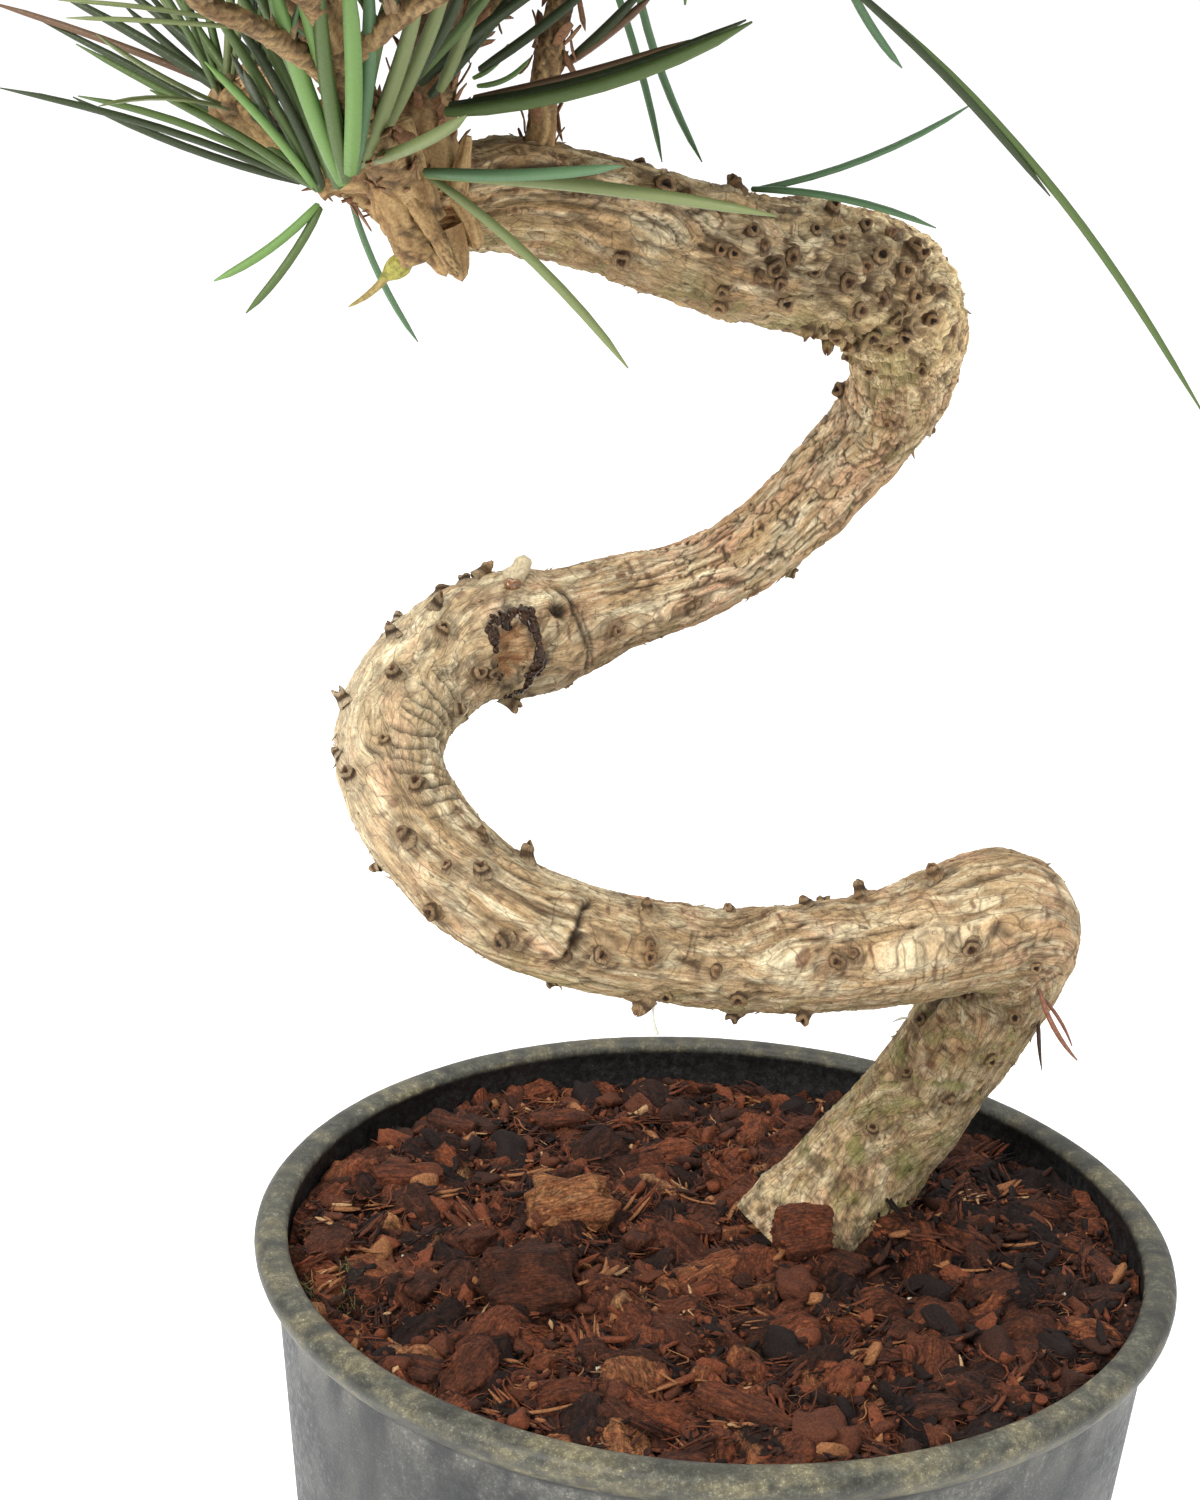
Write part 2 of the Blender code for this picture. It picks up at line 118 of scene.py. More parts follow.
def build_camera():
    data = bpy.data.cameras.new("photo_camera")
    data.sensor_fit = "AUTO"
    data.sensor_width = 36.0
    data.lens = FOCAL * 36.0 / 1500.0
    data.clip_start, data.clip_end = 0.01, 50.0
    camera = bpy.data.objects.new("photo_camera", data)
    turn = Matrix((SIDE, UP, -LOOK)).transposed().to_4x4()
    camera.matrix_world = Matrix.Translation(Vector(EYE * MM)) @ turn
    bpy.context.scene.collection.objects.link(camera)
    bpy.context.scene.camera = camera


# ------------------------------------------------------------------ noise on arrays of points
def hashed(ix, iy, iz, seed):
    with np.errstate(over="ignore"):
        h = ix.astype(np.uint32) * np.uint32(0x8DA6B343)
        h = h ^ (iy.astype(np.uint32) * np.uint32(0xD8163841))
        h = h ^ (iz.astype(np.uint32) * np.uint32(0xCB1AB31F))
        h = h ^ np.uint32((seed * 0x9E3779B9) & 0xFFFFFFFF)
        h = h ^ (h >> np.uint32(16))
        h = h * np.uint32(0x7FEB352D)
        h = h ^ (h >> np.uint32(15))
        h = h * np.uint32(0x846CA68B)
        h = h ^ (h >> np.uint32(16))
    return h.astype(np.float64) / 4294967295.0


def vnoise(points, seed=0):
    """Smooth value noise in -1..1."""
    base = np.floor(points)
    part = points - base
    base = base.astype(np.int64)
    w = part * part * part * (part * (part * 6 - 15) + 10)
    out = 0.0
    for dx in (0, 1):
        wx = w[..., 0] if dx else 1 - w[..., 0]
        for dy in (0, 1):
            wy = w[..., 1] if dy else 1 - w[..., 1]
            for dz in (0, 1):
                wz = w[..., 2] if dz else 1 - w[..., 2]
                out = out + wx * wy * wz * hashed(base[..., 0] + dx, base[..., 1] + dy, base[..., 2] + dz, seed)
    return out * 2 - 1


def fbm(points, octaves=3, seed=0, gain=0.5):
    total, size, norm = 0.0, 1.0, 0.0
    for k in range(octaves):
        total = total + size * vnoise(points * 2.03**k + 13.7 * k, seed + 17 * k)
        norm += size
        size *= gain
    return total / norm


def worley(points, seed=0):
    """Distances to the nearest and second feature point, and the nearest one's random number."""
    base = np.floor(points).astype(np.int64)
    first = np.full(points.shape[:-1], 9.0)
    second = np.full(points.shape[:-1], 9.0)
    name = np.zeros(points.shape[:-1])
    for dx in (-1, 0, 1):
        for dy in (-1, 0, 1):
            for dz in (-1, 0, 1):
                ix, iy, iz = base[..., 0] + dx, base[..., 1] + dy, base[..., 2] + dz
                d = (
                    (ix + hashed(ix, iy, iz, seed) - points[..., 0]) ** 2
                    + (iy + hashed(ix, iy, iz, seed + 1) - points[..., 1]) ** 2
                    + (iz + hashed(ix, iy, iz, seed + 2) - points[..., 2]) ** 2
                )
                closer = d < first
                second = np.where(closer, first, np.minimum(second, d))
                name = np.where(closer, hashed(ix, iy, iz, seed + 3), name)
                first = np.where(closer, d, first)
    return np.sqrt(first), np.sqrt(second), name


def smooth(low, high, x):
    t = np.clip((x - low) / (high - low), 0.0, 1.0)
    return t * t * (3 - 2 * t)


def unit(v):
    return v / np.maximum(np.linalg.norm(v, axis=-1, keepdims=True), 1e-12)


def across(d):
    """Two unit vectors square to each direction of an array."""
    helper = np.where(np.abs(d[..., 2:3]) < 0.9, np.array([0.0, 0.0, 1.0]), np.array([1.0, 0.0, 0.0]))
    a = unit(np.cross(d, helper))
    return a, np.cross(d, a)


# ------------------------------------------------------------------ meshes and pieces
def srgb(r, g, b):
    out = []
    for c in (r, g, b):
        c /= 255.0
        out.append(c / 12.92 if c <= 0.04045 else ((c + 0.055) / 1.055) ** 2.4)
    return tuple(out)


def make_mesh(name, points_mm, faces, shade=True):
    """A mesh from points in millimetres and one or more arrays of faces of one size each."""
    faces = faces if isinstance(faces, (list, tuple)) else [faces]
    faces = [np.asarray(f, np.int32) for f in faces if len(f)]
    points = np.asarray(points_mm, np.float64).reshape(-1, 3) * MM
    mesh = bpy.data.meshes.new(name)
    mesh.vertices.add(len(points))
    mesh.vertices.foreach_set("co", points.astype(np.float32).ravel())
    loops = np.concatenate([f.ravel() for f in faces])
    sizes = np.concatenate([np.full(len(f), f.shape[1], np.int32) for f in faces])
    starts = np.concatenate([[0], np.cumsum(sizes)[:-1]]).astype(np.int32)
    mesh.loops.add(len(loops))
    mesh.loops.foreach_set("vertex_index", loops)
    mesh.polygons.add(len(sizes))
    mesh.polygons.foreach_set("loop_start", starts)
    mesh.update(calc_edges=True)
    if shade:
        mesh.polygons.foreach_set("use_smooth", np.ones(len(sizes), bool))
    return mesh


def piece(name, mesh, materials, replaces=()):
    obj = bpy.data.objects.new(name, mesh)
    bpy.context.scene.collection.objects.link(obj)
    for material in materials if isinstance(materials, (list, tuple)) else [materials]:
        mesh.materials.append(material)
    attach(obj, "root")
    if replaces:
        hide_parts(*replaces)
    return obj


def point_colour(mesh, name, rgb):
    layer = mesh.color_attributes.new(name, "FLOAT_COLOR", "POINT")
    rgba = np.ones((len(mesh.vertices), 4), np.float32)
    rgba[:, :3] = rgb.reshape(-1, 3)
    layer.data.foreach_set("color", rgba.ravel())


def point_vector(mesh, name, vectors):
    layer = mesh.attributes.new(name, "FLOAT_VECTOR", "POINT")
    layer.data.foreach_set("vector", np.asarray(vectors, np.float32).ravel())


def grid_faces(rows, columns, closed=True, flip=False):
    """Quads of a grid of rows x columns points, whose rows may close on themselves."""
    i = np.arange(rows - 1)[:, None]
    j = np.arange(columns if closed else columns - 1)[None, :]
    nxt = (j + 1) % columns
    quads = np.stack([i * columns + j + 0 * i, i * columns + nxt, (i + 1) * columns + nxt, (i + 1) * columns + j], -1)
    quads = quads.reshape(-1, 4)
    return quads[:, ::-1] if flip else quads


# ------------------------------------------------------------------ materials
class Look:
    """A Principled material with small helpers for its node tree."""

    def __init__(self, name, colour=(0.5, 0.5, 0.5), rough=0.6, **sockets):
        self.material = bpy.data.materials.new(name)
        self.material.use_nodes = True
        self.tree = self.material.node_tree
        self.shader = self.tree.nodes["Principled BSDF"]
        self.shader.inputs["Base Color"].default_value = (*colour, 1.0)
        self.shader.inputs["Roughness"].default_value = rough
        for key, value in sockets.items():
            self.shader.inputs[key.replace("_", " ")].default_value = value
        self.place = self.node("ShaderNodeTexCoord")

    def node(self, kind, **values):
        made = self.tree.nodes.new(kind)
        for key, value in values.items():
            setattr(made, key, value)
        return made

    def link(self, a, b):
        self.tree.links.new(a, b)

    def noise(self, scale, detail=3.0, rough=0.55, stretch=None, distortion=0.0, along=None):
        made = self.node("ShaderNodeTexNoise")
        made.inputs["Scale"].default_value = scale
        made.inputs["Detail"].default_value = detail
        made.inputs["Roughness"].default_value = rough
        made.inputs["Distortion"].default_value = distortion
        self.link(self.coordinates(stretch, along), made.inputs["Vector"])
        return made.outputs["Fac"]

    def coordinates(self, stretch=None, along=None):
        """The object's coordinates, or those kept on the mesh under a name, stretched."""
        if along:
            source = self.node("ShaderNodeAttribute", attribute_name=along).outputs["Vector"]
        else:
            source = self.place.outputs["Object"]
        if not stretch:
            return source
        mapping = self.node("ShaderNodeMapping")
        mapping.inputs["Scale"].default_value = stretch
        self.link(source, mapping.inputs["Vector"])
        return mapping.outputs["Vector"]

    def cell_edges(self, stretch, along):
        made = self.node("ShaderNodeTexVoronoi", feature="DISTANCE_TO_EDGE")
        made.inputs["Scale"].default_value = 1.0
        self.link(self.coordinates(stretch, along), made.inputs["Vector"])
        return made.outputs["Distance"]

    def cells(self, scale, feature="F1"):
        made = self.node("ShaderNodeTexVoronoi", feature=feature)
        made.inputs["Scale"].default_value = scale
        self.link(self.place.outputs["Object"], made.inputs["Vector"])
        return made.outputs["Distance"]

    def ramp(self, value, *stops):
        made = self.node("ShaderNodeValToRGB")
        band = made.color_ramp
        while len(band.elements) < len(stops):
            band.elements.new(0.5)
        for element, (at, colour) in zip(band.elements, stops):
            element.position = at
            element.color = (*colour, 1.0) if not isinstance(colour, float) else (colour, colour, colour, 1.0)
        self.link(value, made.inputs["Fac"])
        return made.outputs["Color"]

    def mix(self, share, a, b, mode="MIX"):
        made = self.node("ShaderNodeMix", data_type="RGBA", blend_type=mode)
        for socket, value in ((made.inputs[0], share), (made.inputs[6], a), (made.inputs[7], b)):
            if isinstance(value, (int, float)):
                socket.default_value = value
            elif isinstance(value, tuple):
                socket.default_value = (*value, 1.0)
            else:
                self.link(value, socket)
        return made.outputs[2]

    def math(self, operation, a, b=0.0):
        made = self.node("ShaderNodeMath", operation=operation)
        for socket, value in zip(made.inputs, (a, b)):
            if isinstance(value, (int, float)):
                socket.default_value = value
            else:
                self.link(value, socket)
        return made.outputs[0]

    def attribute(self, name):
        made = self.node("ShaderNodeAttribute", attribute_name=name)
        return made.outputs["Color"]

    def colour(self, socket):
        self.link(socket, self.shader.inputs["Base Color"])

    def rough(self, socket):
        self.link(socket, self.shader.inputs["Roughness"])

    def bump(self, height, strength=0.5, distance=0.0002):
        made = self.node("ShaderNodeBump")
        made.inputs["Strength"].default_value = strength
        made.inputs["Distance"].default_value = distance
        self.link(height, made.inputs["Height"])
        self.link(made.outputs["Normal"], self.shader.inputs["Normal"])


def bark_look():
    """Bark: its tint is kept on the mesh, and the fibres and fine cracks run along the limb."""
    look = Look("pine_bark", rough=0.82, Specular_IOR_Level=0.30)
    tint = look.attribute("bark")
    fine = look.noise(2600.0, 4.0, 0.65)
    fibre = look.noise(1.0, 5.0, 0.66, stretch=(4.2, 4.2, 0.50), along="along")
    band = look.noise(1.0, 3.0, 0.55, stretch=(1.3, 1.3, 0.22), along="along")
    fleck = look.noise(1.0, 4.0, 0.70, stretch=(1.9, 1.9, 0.95), along="along")
    crack = look.cell_edges((0.70, 0.70, 0.20), "along")
    colour = look.mix(1.0, tint, look.ramp(fine, (0.30, 0.74), (0.50, 1.0), (0.70, 1.16)), "MULTIPLY")
    colour = look.mix(1.0, colour, look.ramp(fibre, (0.34, (0.60, 0.55, 0.49)), (0.46, (0.96, 0.95, 0.93)), (0.62, (1.20, 1.20, 1.20))), "MULTIPLY")
    colour = look.mix(1.0, colour, look.ramp(band, (0.38, (0.88, 0.86, 0.83)), (0.60, (1.08, 1.08, 1.08))), "MULTIPLY")
    colour = look.mix(look.ramp(fleck, (0.61, 0.0), (0.69, 0.62)), colour, srgb(98, 68, 46))
    share = look.ramp(crack, (0.0, 0.55), (0.035, 0.0))
    colour = look.mix(share, colour, srgb(74, 54, 38))
    look.colour(colour)
    look.rough(look.ramp(fine, (0.3, 0.92), (0.7, 0.70)))
    height = look.math("ADD", look.math("MULTIPLY", fine, 0.35), look.math("MULTIPLY", fibre, 1.1))
    height = look.math("SUBTRACT", height, look.math("MULTIPLY", share, 0.5))
    look.bump(height, 0.75, 0.00032)
    return look.material


def plain_look(name, colour, rough=0.75, spread=0.25, scale=1400.0, bump=0.3, **more):
    """One base colour, with fine relief and a small, placeless variation of brightness."""
    look = Look(name, colour, rough, **more)
    fine = look.noise(scale, 3.0, 0.6)
    low, high = tuple(c * (1 - spread) for c in colour), tuple(min(1.0, c * (1 + spread)) for c in colour)
    look.colour(look.ramp(fine, (0.32, low), (0.68, high)))
    look.rough(look.ramp(fine, (0.3, min(1.0, rough + 0.1)), (0.7, max(0.0, rough - 0.1))))
    look.bump(fine, bump, 0.0002)
    return look.material


# ------------------------------------------------------------------ the stem's curve
def natural_slopes(t, y):
    n = len(t)
    h = np.diff(t)
    a = np.zeros((n, n))
    b = np.zeros_like(y)
    a[0, 0], a[0, 1] = 2.0, 1.0
    b[0] = 3.0 * (y[1] - y[0]) / h[0]
    a[-1, -1], a[-1, -2] = 2.0, 1.0
    b[-1] = 3.0 * (y[-1] - y[-2]) / h[-1]
    for i in range(1, n - 1):
        a[i, i - 1], a[i, i], a[i, i + 1] = h[i], 2.0 * (h[i - 1] + h[i]), h[i - 1]
        b[i] = 3.0 * (h[i] * (y[i] - y[i - 1]) / h[i - 1] + h[i - 1] * (y[i + 1] - y[i]) / h[i])
    return np.linalg.solve(a, b)


def along_bends(rows, bends):
    """Points and radii of the smooth curve through the rows, at an array of bend numbers."""
    step = np.linalg.norm(np.diff(rows[:, :3], axis=0), axis=1) ** 0.75
    t = np.concatenate([[0.0], np.cumsum(step)])
    slopes = natural_slopes(t, rows)
    i = np.clip(bends.astype(int), 0, len(rows) - 2)
    h = (t[i + 1] - t[i])[:, None]
    u = (bends - i)[:, None]
    return (
        (2 * u**3 - 3 * u**2 + 1) * rows[i]
        + (u**3 - 2 * u**2 + u) * h * slopes[i]
        + (-2 * u**3 + 3 * u**2) * rows[i + 1]
        + (u**3 - u**2) * h * slopes[i + 1]
    )


def carried_frames(points):
    """Tangents, and a pair of side vectors carried along without twist."""
    tangent = unit(np.gradient(points, axis=0))
    a, _ = across(tangent[:1])
    side = np.zeros_like(points)
    side[0] = a[0]
    for k in range(1, len(points)):
        s = side[k - 1] - tangent[k] * np.dot(side[k - 1], tangent[k])
        side[k] = s / np.linalg.norm(s)
    return tangent, side, np.cross(tangent, side)


# ------------------------------------------------------------------ stem with bark relief
STEM_RINGS, STEM_ROUND = 1250, 136
STEM_BELOW, STEM_DOME = 7.0, 5.2
STEM_PARTING = 11.0                              # bend number where the lower half gives way to the upper one
# Bud scars seen in the photograph: pixel, width in millimetres, height in millimetres, and whether the cup is open.
SCARS = (
    (343, 701, 2.5, 1.9, 1), (396, 676, 2.5, 1.5, 1), (393, 633, 2.2, 1.7, 0), (434, 606, 2.0, 1.9, 0), (480, 577, 2.5, 2.4, 1),
    (443, 630, 2.3, 1.2, 1), (384, 739, 1.9, 0.8, 1), (337, 753, 2.2, 1.0, 0), (348, 774, 2.8, 1.3, 1), (416, 785, 2.9, 1.2, 1),
    (407, 838, 2.8, 1.5, 1), (448, 865, 1.8, 0.5, 1), (482, 871, 2.6, 1.3, 1), (482, 833, 1.8, 1.2, 0), (528, 856, 2.2, 2.3, 1),
    (434, 910, 2.8, 1.4, 1), (505, 940, 3.0, 1.2, 1), (478, 674, 2.7, 1.2, 1), (489, 672, 2.4, 1.2, 1), (511, 712, 2.7, 2.2, 1),
    (459, 710, 2.2, 0.9, 1), (598, 955, 2.9, 1.3, 1), (567, 957, 2.6, 0.8, 1), (650, 943, 2.0, 0.6, 0), (650, 960, 2.2, 0.8, 1),
    (646, 905, 2.2, 0.9, 0), (717, 970, 2.4, 0.7, 0), (739, 996, 2.8, 1.3, 1), (835, 960, 2.8, 1.3, 1), (853, 953, 2.2, 0.6, 0),
    (972, 948, 3.0, 1.3, 1), (935, 875, 2.7, 1.3, 1), (860, 896, 2.0, 0.8, 0), (806, 902, 2.2, 1.0, 0), (729, 909, 2.0, 0.8, 0),
    (643, 1009, 3.0, 1.8, 0), (667, 999, 2.2, 1.0, 1), (804, 1016, 2.6, 1.7, 1), (1016, 1018, 2.4, 0.8, 1), (1035, 967, 2.2, 0.7, 1),
    (753, 232, 2.4, 1.0, 1), (763, 246, 2.0, 0.8, 0), (794, 257, 2.6, 1.0, 1), (776, 269, 2.8, 1.3, 1), (780, 282, 2.4, 1.0, 1),
    (756, 277, 2.2, 0.8, 0), (786, 303, 2.7, 1.1, 1), (819, 274, 2.4, 0.5, 1), (839, 244, 2.6, 1.0, 1), (815, 230, 2.0, 0.8, 1),
    (830, 212, 2.4, 1.7, 1), (863, 226, 2.2, 1.2, 1), (880, 257, 3.2, 1.6, 1), (848, 283, 3.0, 1.5, 1), (892, 231, 2.4, 1.2, 0),
    (913, 250, 2.6, 1.6, 1), (918, 258, 2.4, 1.8, 1), (933, 289, 2.2, 2.0, 0), (857, 308, 2.6, 1.1, 1), (884, 299, 2.8, 1.3, 1),
    (892, 318, 2.4, 1.0, 1), (911, 295, 2.6, 1.1, 1), (809, 326, 2.4, 1.9, 0), (819, 330, 2.2, 1.7, 0), (828, 347, 2.4, 2.2, 0),
    (838, 333, 2.6, 1.4, 1), (871, 372, 2.8, 1.5, 1), (838, 389, 2.6, 1.3, 1), (844, 362, 2.4, 1.2, 1), (892, 352, 2.8, 1.3, 1),
    (920, 372, 2.4, 1.5, 1), (889, 400, 2.2, 0.8, 0), (888, 423, 2.0, 1.2, 0), (723, 289, 2.2, 0.9, 1), (721, 249, 2.0, 0.6, 1),
    (731, 253, 2.0, 0.7, 1), (736, 190, 2.8, 1.7, 1), (663, 186, 3.2, 1.5, 1), (622, 261, 2.8, 1.1, 1), (690, 196, 2.4, 1.1, 0),
    (585, 188, 2.6, 1.0, 0), (614, 631, 1.9, 0.8, 1), (720, 306, 2.6, 0.9, 1), (903, 270, 2.8, 1.4, 1), (865, 268, 2.6, 1.3, 1),
    (872, 330, 2.8, 1.5, 1), (857, 345, 2.6, 1.6, 0), (905, 335, 2.6, 1.4, 1), (930, 320, 2.4, 1.5, 1), (905, 312, 2.4, 1.2, 0),
    (905, 1075, 2.2, 0.8, 1), (948, 1100, 2.4, 0.9, 0), (870, 1130, 2.2, 0.8, 1), (990, 1060, 2.4, 1.0, 1), (920, 1020, 2.4, 1.0, 1),
)
THORNS = ((329, 763, 1.6), (362, 853, 1.8), (480, 722, 1.2), (482, 838, 1.3), (753, 591, 1.4), (643, 641, 1.2), (887, 481, 1.4), (843, 524, 1.2),
          (967, 306, 2.0), (1044, 862, 1.6), (709, 303, 1.2), (625, 290, 1.2), (916, 455, 1.4), (700, 1000, 1.0), (560, 985, 1.2), (885, 443, 1.2))
WOUND = (513, 652)
# Lines drawn in the bark: pixels along the line, half width and depth in millimetres, darkness of the painted shade in
# the cut, and degrees it runs on round the edge.
LINES = (
    (((420, 678), (438, 697), (455, 721)), 0.30, 0.75, 0.95, 30), (((403, 693), (424, 703), (449, 726)), 0.28, 0.75, 0.90, 30),
    (((395, 704), (420, 715), (445, 738)), 0.28, 0.65, 0.90, 25), (((389, 723), (420, 732), (448, 744)), 0.30, 0.85, 0.95, 35),
    (((372, 743), (408, 745), (445, 756)), 0.28, 0.70, 0.85, 30), (((384, 754), (415, 759), (443, 768)), 0.26, 0.60, 0.80, 30),
    (((389, 767), (412, 769), (441, 774)), 0.26, 0.60, 0.75, 30), (((408, 788), (426, 786), (446, 783)), 0.28, 0.65, 0.80, 30),
    (((418, 804), (432, 801), (446, 797)), 0.26, 0.55, 0.75, 25), (((428, 816), (446, 811)), 0.24, 0.45, 0.6, 20),
    (((432, 668), (452, 688), (462, 712)), 0.26, 0.45, 0.6, 20), (((366, 728), (392, 740)), 0.22, 0.30, 0.4, 0),
    (((546, 581), (566, 598), (580, 620), (588, 645), (589, 663)), 0.34, 0.60, 0.75, 25), (((556, 584), (577, 606), (590, 632), (594, 660)), 0.26, 0.45, 0.65, 25),
    (((545, 590), (560, 606), (566, 622)), 0.26, 0.35, 0.5, 0),
    (((594, 897), (586, 912), (578, 928), (574, 944), (566, 961)), 0.42, 0.80, 0.85, 0), (((585, 930), (577, 940), (571, 950)), 0.8, 0.8, 0.9, 0),
    (((575, 955), (560, 966), (548, 968)), 0.55, 0.55, 0.8, 0),
    (((706, 937), (736, 935)), 0.30, 0.22, 0.75, 0), (((692, 929), (690, 948), (684, 972)), 0.20, 0.30, 0.55, 0), (((700, 928), (697, 950), (694, 968)), 0.18, 0.25, 0.45, 0),
    (((776, 205), (792, 209), (806, 214)), 0.55, 0.50, 0.7, 0), (((800, 234), (812, 238)), 0.5, 0.4, 0.7, 0),
    (((1003, 915), (1000, 928), (994, 940)), 0.25, 0.2, 0.5, 0), (((925, 1003), (918, 1018), (905, 1034)), 0.7, 0.7, 0.75, 0),
    (((938, 1000), (960, 1003), (985, 1000), (1010, 990)), 0.4, 0.5, 0.55, 0), (((830, 950), (852, 955)), 0.25, 0.25, 0.6, 0),
    (((868, 345), (880, 352), (896, 350)), 0.8, 0.8, 0.8, 20), (((846, 330), (860, 338), (872, 352)), 0.6, 0.7, 0.8, 25), (((895, 318), (905, 325), (915, 318)), 0.5, 0.6, 0.7, 0),
    (((860, 262), (872, 275), (868, 292)), 0.5, 0.6, 0.6, 0), (((892, 262), (900, 283), (893, 300)), 0.45, 0.6, 0.6, 0), (((842, 256), (832, 272), (835, 292)), 0.4, 0.5, 0.5, 0),
    (((870, 312), (890, 306), (905, 302)), 0.45, 0.6, 0.65, 0), (((820, 292), (840, 305), (856, 322)), 0.45, 0.6, 0.6, 0), (((915, 270), (925, 290), (920, 312)), 0.45, 0.6, 0.6, 0),
    (((905, 350), (918, 362), (925, 380)), 0.45, 0.5, 0.6, 0), (((858, 362), (866, 380), (862, 398)), 0.45, 0.5, 0.6, 0), (((845, 402), (858, 415)), 0.4, 0.5, 0.6, 0),
    (((505, 197), (580, 206), (650, 221), (700, 236)), 0.28, 0.42, 0.45, 0), (((515, 215), (600, 232), (690, 262), (740, 283)), 0.30, 0.45, 0.45, 0),
    (((545, 170), (610, 182), (640, 190)), 0.28, 0.40, 0.45, 0), (((560, 236), (640, 262), (700, 285)), 0.26, 0.40, 0.40, 0), (((500, 178), (560, 190), (620, 200)), 0.24, 0.40, 0.4, 0),
    (((522, 240), (590, 262), (650, 282)), 0.26, 0.36, 0.4, 0), (((640, 226), (700, 246), (745, 262)), 0.26, 0.36, 0.4, 0), (((700, 205), (760, 215), (800, 222)), 0.28, 0.4, 0.5, 0),
    (((622, 640), (660, 624), (712, 607)), 0.24, 0.30, 0.40, 0), (((600, 590), (650, 573), (700, 556)), 0.22, 0.26, 0.35, 0), (((690, 560), (735, 540), (790, 500)), 0.22, 0.26, 0.35, 0),
    (((740, 575), (790, 545), (830, 505)), 0.24, 0.30, 0.4, 0), (((800, 470), (835, 440), (858, 410)), 0.22, 0.28, 0.35, 0),
)
# Swellings: pixel, half length along the stem, half width round it, height.
SWELLS = (
    (514, 575, 5.5, 4.5, 0.9), (545, 640, 5.0, 7.0, 0.7), (563, 600, 3.0, 3.2, 0.8), (500, 690, 4.0, 3.0, 0.7), (572, 905, 2.2, 4.0, 0.55), (600, 950, 3.0, 3.0, 0.5),
    (860, 270, 6.0, 6.0, 0.8), (885, 330, 5.0, 5.0, 0.6), (1010, 900, 9.0, 8.0, 0.5), (430, 870, 5.0, 4.0, 0.35), (664, 190, 3.0, 2.4, 0.8), (736, 196, 3.0, 2.6, 0.8),
)


class Stem:
    pass


def stem_grid():
    """The stem's smooth surface as rings of points, before any relief."""
    bends = np.linspace(0, 24, 6001)
    rows = along_bends(STEM_BENDS, bends)
    path, radius = rows[:, :3], rows[:, 3]
    start, end = unit(path[1] - path[0]), unit(path[-1] - path[-2])
    below = np.linspace(STEM_BELOW, 0.02, 60)[:, None]
    beyond = np.linspace(0.02, STEM_DOME, 60)[:, None]
    path = np.concatenate([path[0] - start * below, path, path[-1] + end * beyond])
    dome = radius[-1] * np.sqrt(np.clip(1 - (beyond[:, 0] / (STEM_DOME + 0.25)) ** 2, 0.0, 1.0))
    radius = np.concatenate([np.full(60, radius[0]), radius, dome])
    length = np.concatenate([[0.0], np.cumsum(np.linalg.norm(np.diff(path, axis=0), axis=1))])
    s = np.linspace(0.0, length[-1], STEM_RINGS)
    centre = np.stack([np.interp(s, length, path[:, k]) for k in range(3)], 1)
    radius = np.interp(s, length, radius)
    tangent, side, other = carried_frames(centre)
    bend = np.gradient(tangent, s, axis=0)
    for _ in range(12):
        bend[1:-1] = (bend[:-2] + 2 * bend[1:-1] + bend[2:]) / 4
    turn = np.linspace(0, 2 * np.pi, STEM_ROUND, endpoint=False)
    out = side[:, None] * np.cos(turn)[None, :, None] + other[:, None] * np.sin(turn)[None, :, None]
    made = Stem()
    made.s, made.centre, made.radius, made.tangent, made.out, made.turn = s - STEM_BELOW, centre, radius, tangent, out, turn
    rise = np.maximum(centre[:, 2] - STEM_CUT_Z, 0.0)
    made.flare = 0.20 * np.exp(-rise / 9.0)
    made.inner = (out * bend[:, None]).sum(-1)
    made.parting = int(np.searchsorted(s, np.interp(STEM_PARTING, bends, length[60:-60])))
    return made


def on_stem(stem, points, u, v, exposed=0.0):
    """Ring and column of the visible stem point that lies nearest to a pixel."""
    if not hasattr(stem, "pixels"):
        stem.pixels = to_pixel(points.reshape(-1, 3)).reshape(points.shape[:2] + (2,))
        toward = unit(EYE - points)
        stem.facing = (toward * stem.out).sum(-1)
        stem.depth = (points - EYE) @ LOOK
    away = np.hypot(stem.pixels[..., 0] - u, stem.pixels[..., 1] - v) + np.where(stem.facing > exposed, 0.0, 500.0)
    near = away < away.min() + 2.0
    depth = np.where(near, stem.depth, 1e9)
    return np.unravel_index(np.argmin(depth), depth.shape)


def line_places(stem, points, pixels, run_on):
    """Points of the surface along a line given in pixels, carried on round the edge by some degrees."""
    places = [on_stem(stem, points, u, v) for u, v in pixels]
    if run_on:
        (i0, j0), (i1, j1) = places[-2], places[-1]
        turn = (j1 - j0 + STEM_ROUND // 2) % STEM_ROUND - STEM_ROUND // 2
        sign = 1 if turn >= 0 else -1
        places.append((i1, (j1 + sign * int(run_on / 360 * STEM_ROUND)) % STEM_ROUND))
    rows = []
    for (i0, j0), (i1, j1) in zip(places, places[1:]):
        turn = (j1 - j0 + STEM_ROUND // 2) % STEM_ROUND - STEM_ROUND // 2
        steps = max(2, int(max(abs(i1 - i0), abs(turn)) / 1.5))
        for k in range(steps):
            rows.append((i0 + (i1 - i0) * k / steps, j0 + turn * k / steps))
    rows.append(places[-1])
    rows = np.array(rows, float)
    # a little wander, so that no line is ruled
    way = np.arange(len(rows))[:, None] / 5.0
    salt = float(pixels[0][0])
    rows = rows + 0.9 * np.stack([vnoise(np.concatenate([way, 0 * way + salt, 0 * way], 1), 201), vnoise(np.concatenate([way, 0 * way + salt, 0 * way], 1), 202)], 1)
    i = np.clip(np.round(rows[:, 0]).astype(int), 0, STEM_RINGS - 1)
    return points[i, np.round(rows[:, 1]).astype(int) % STEM_ROUND]


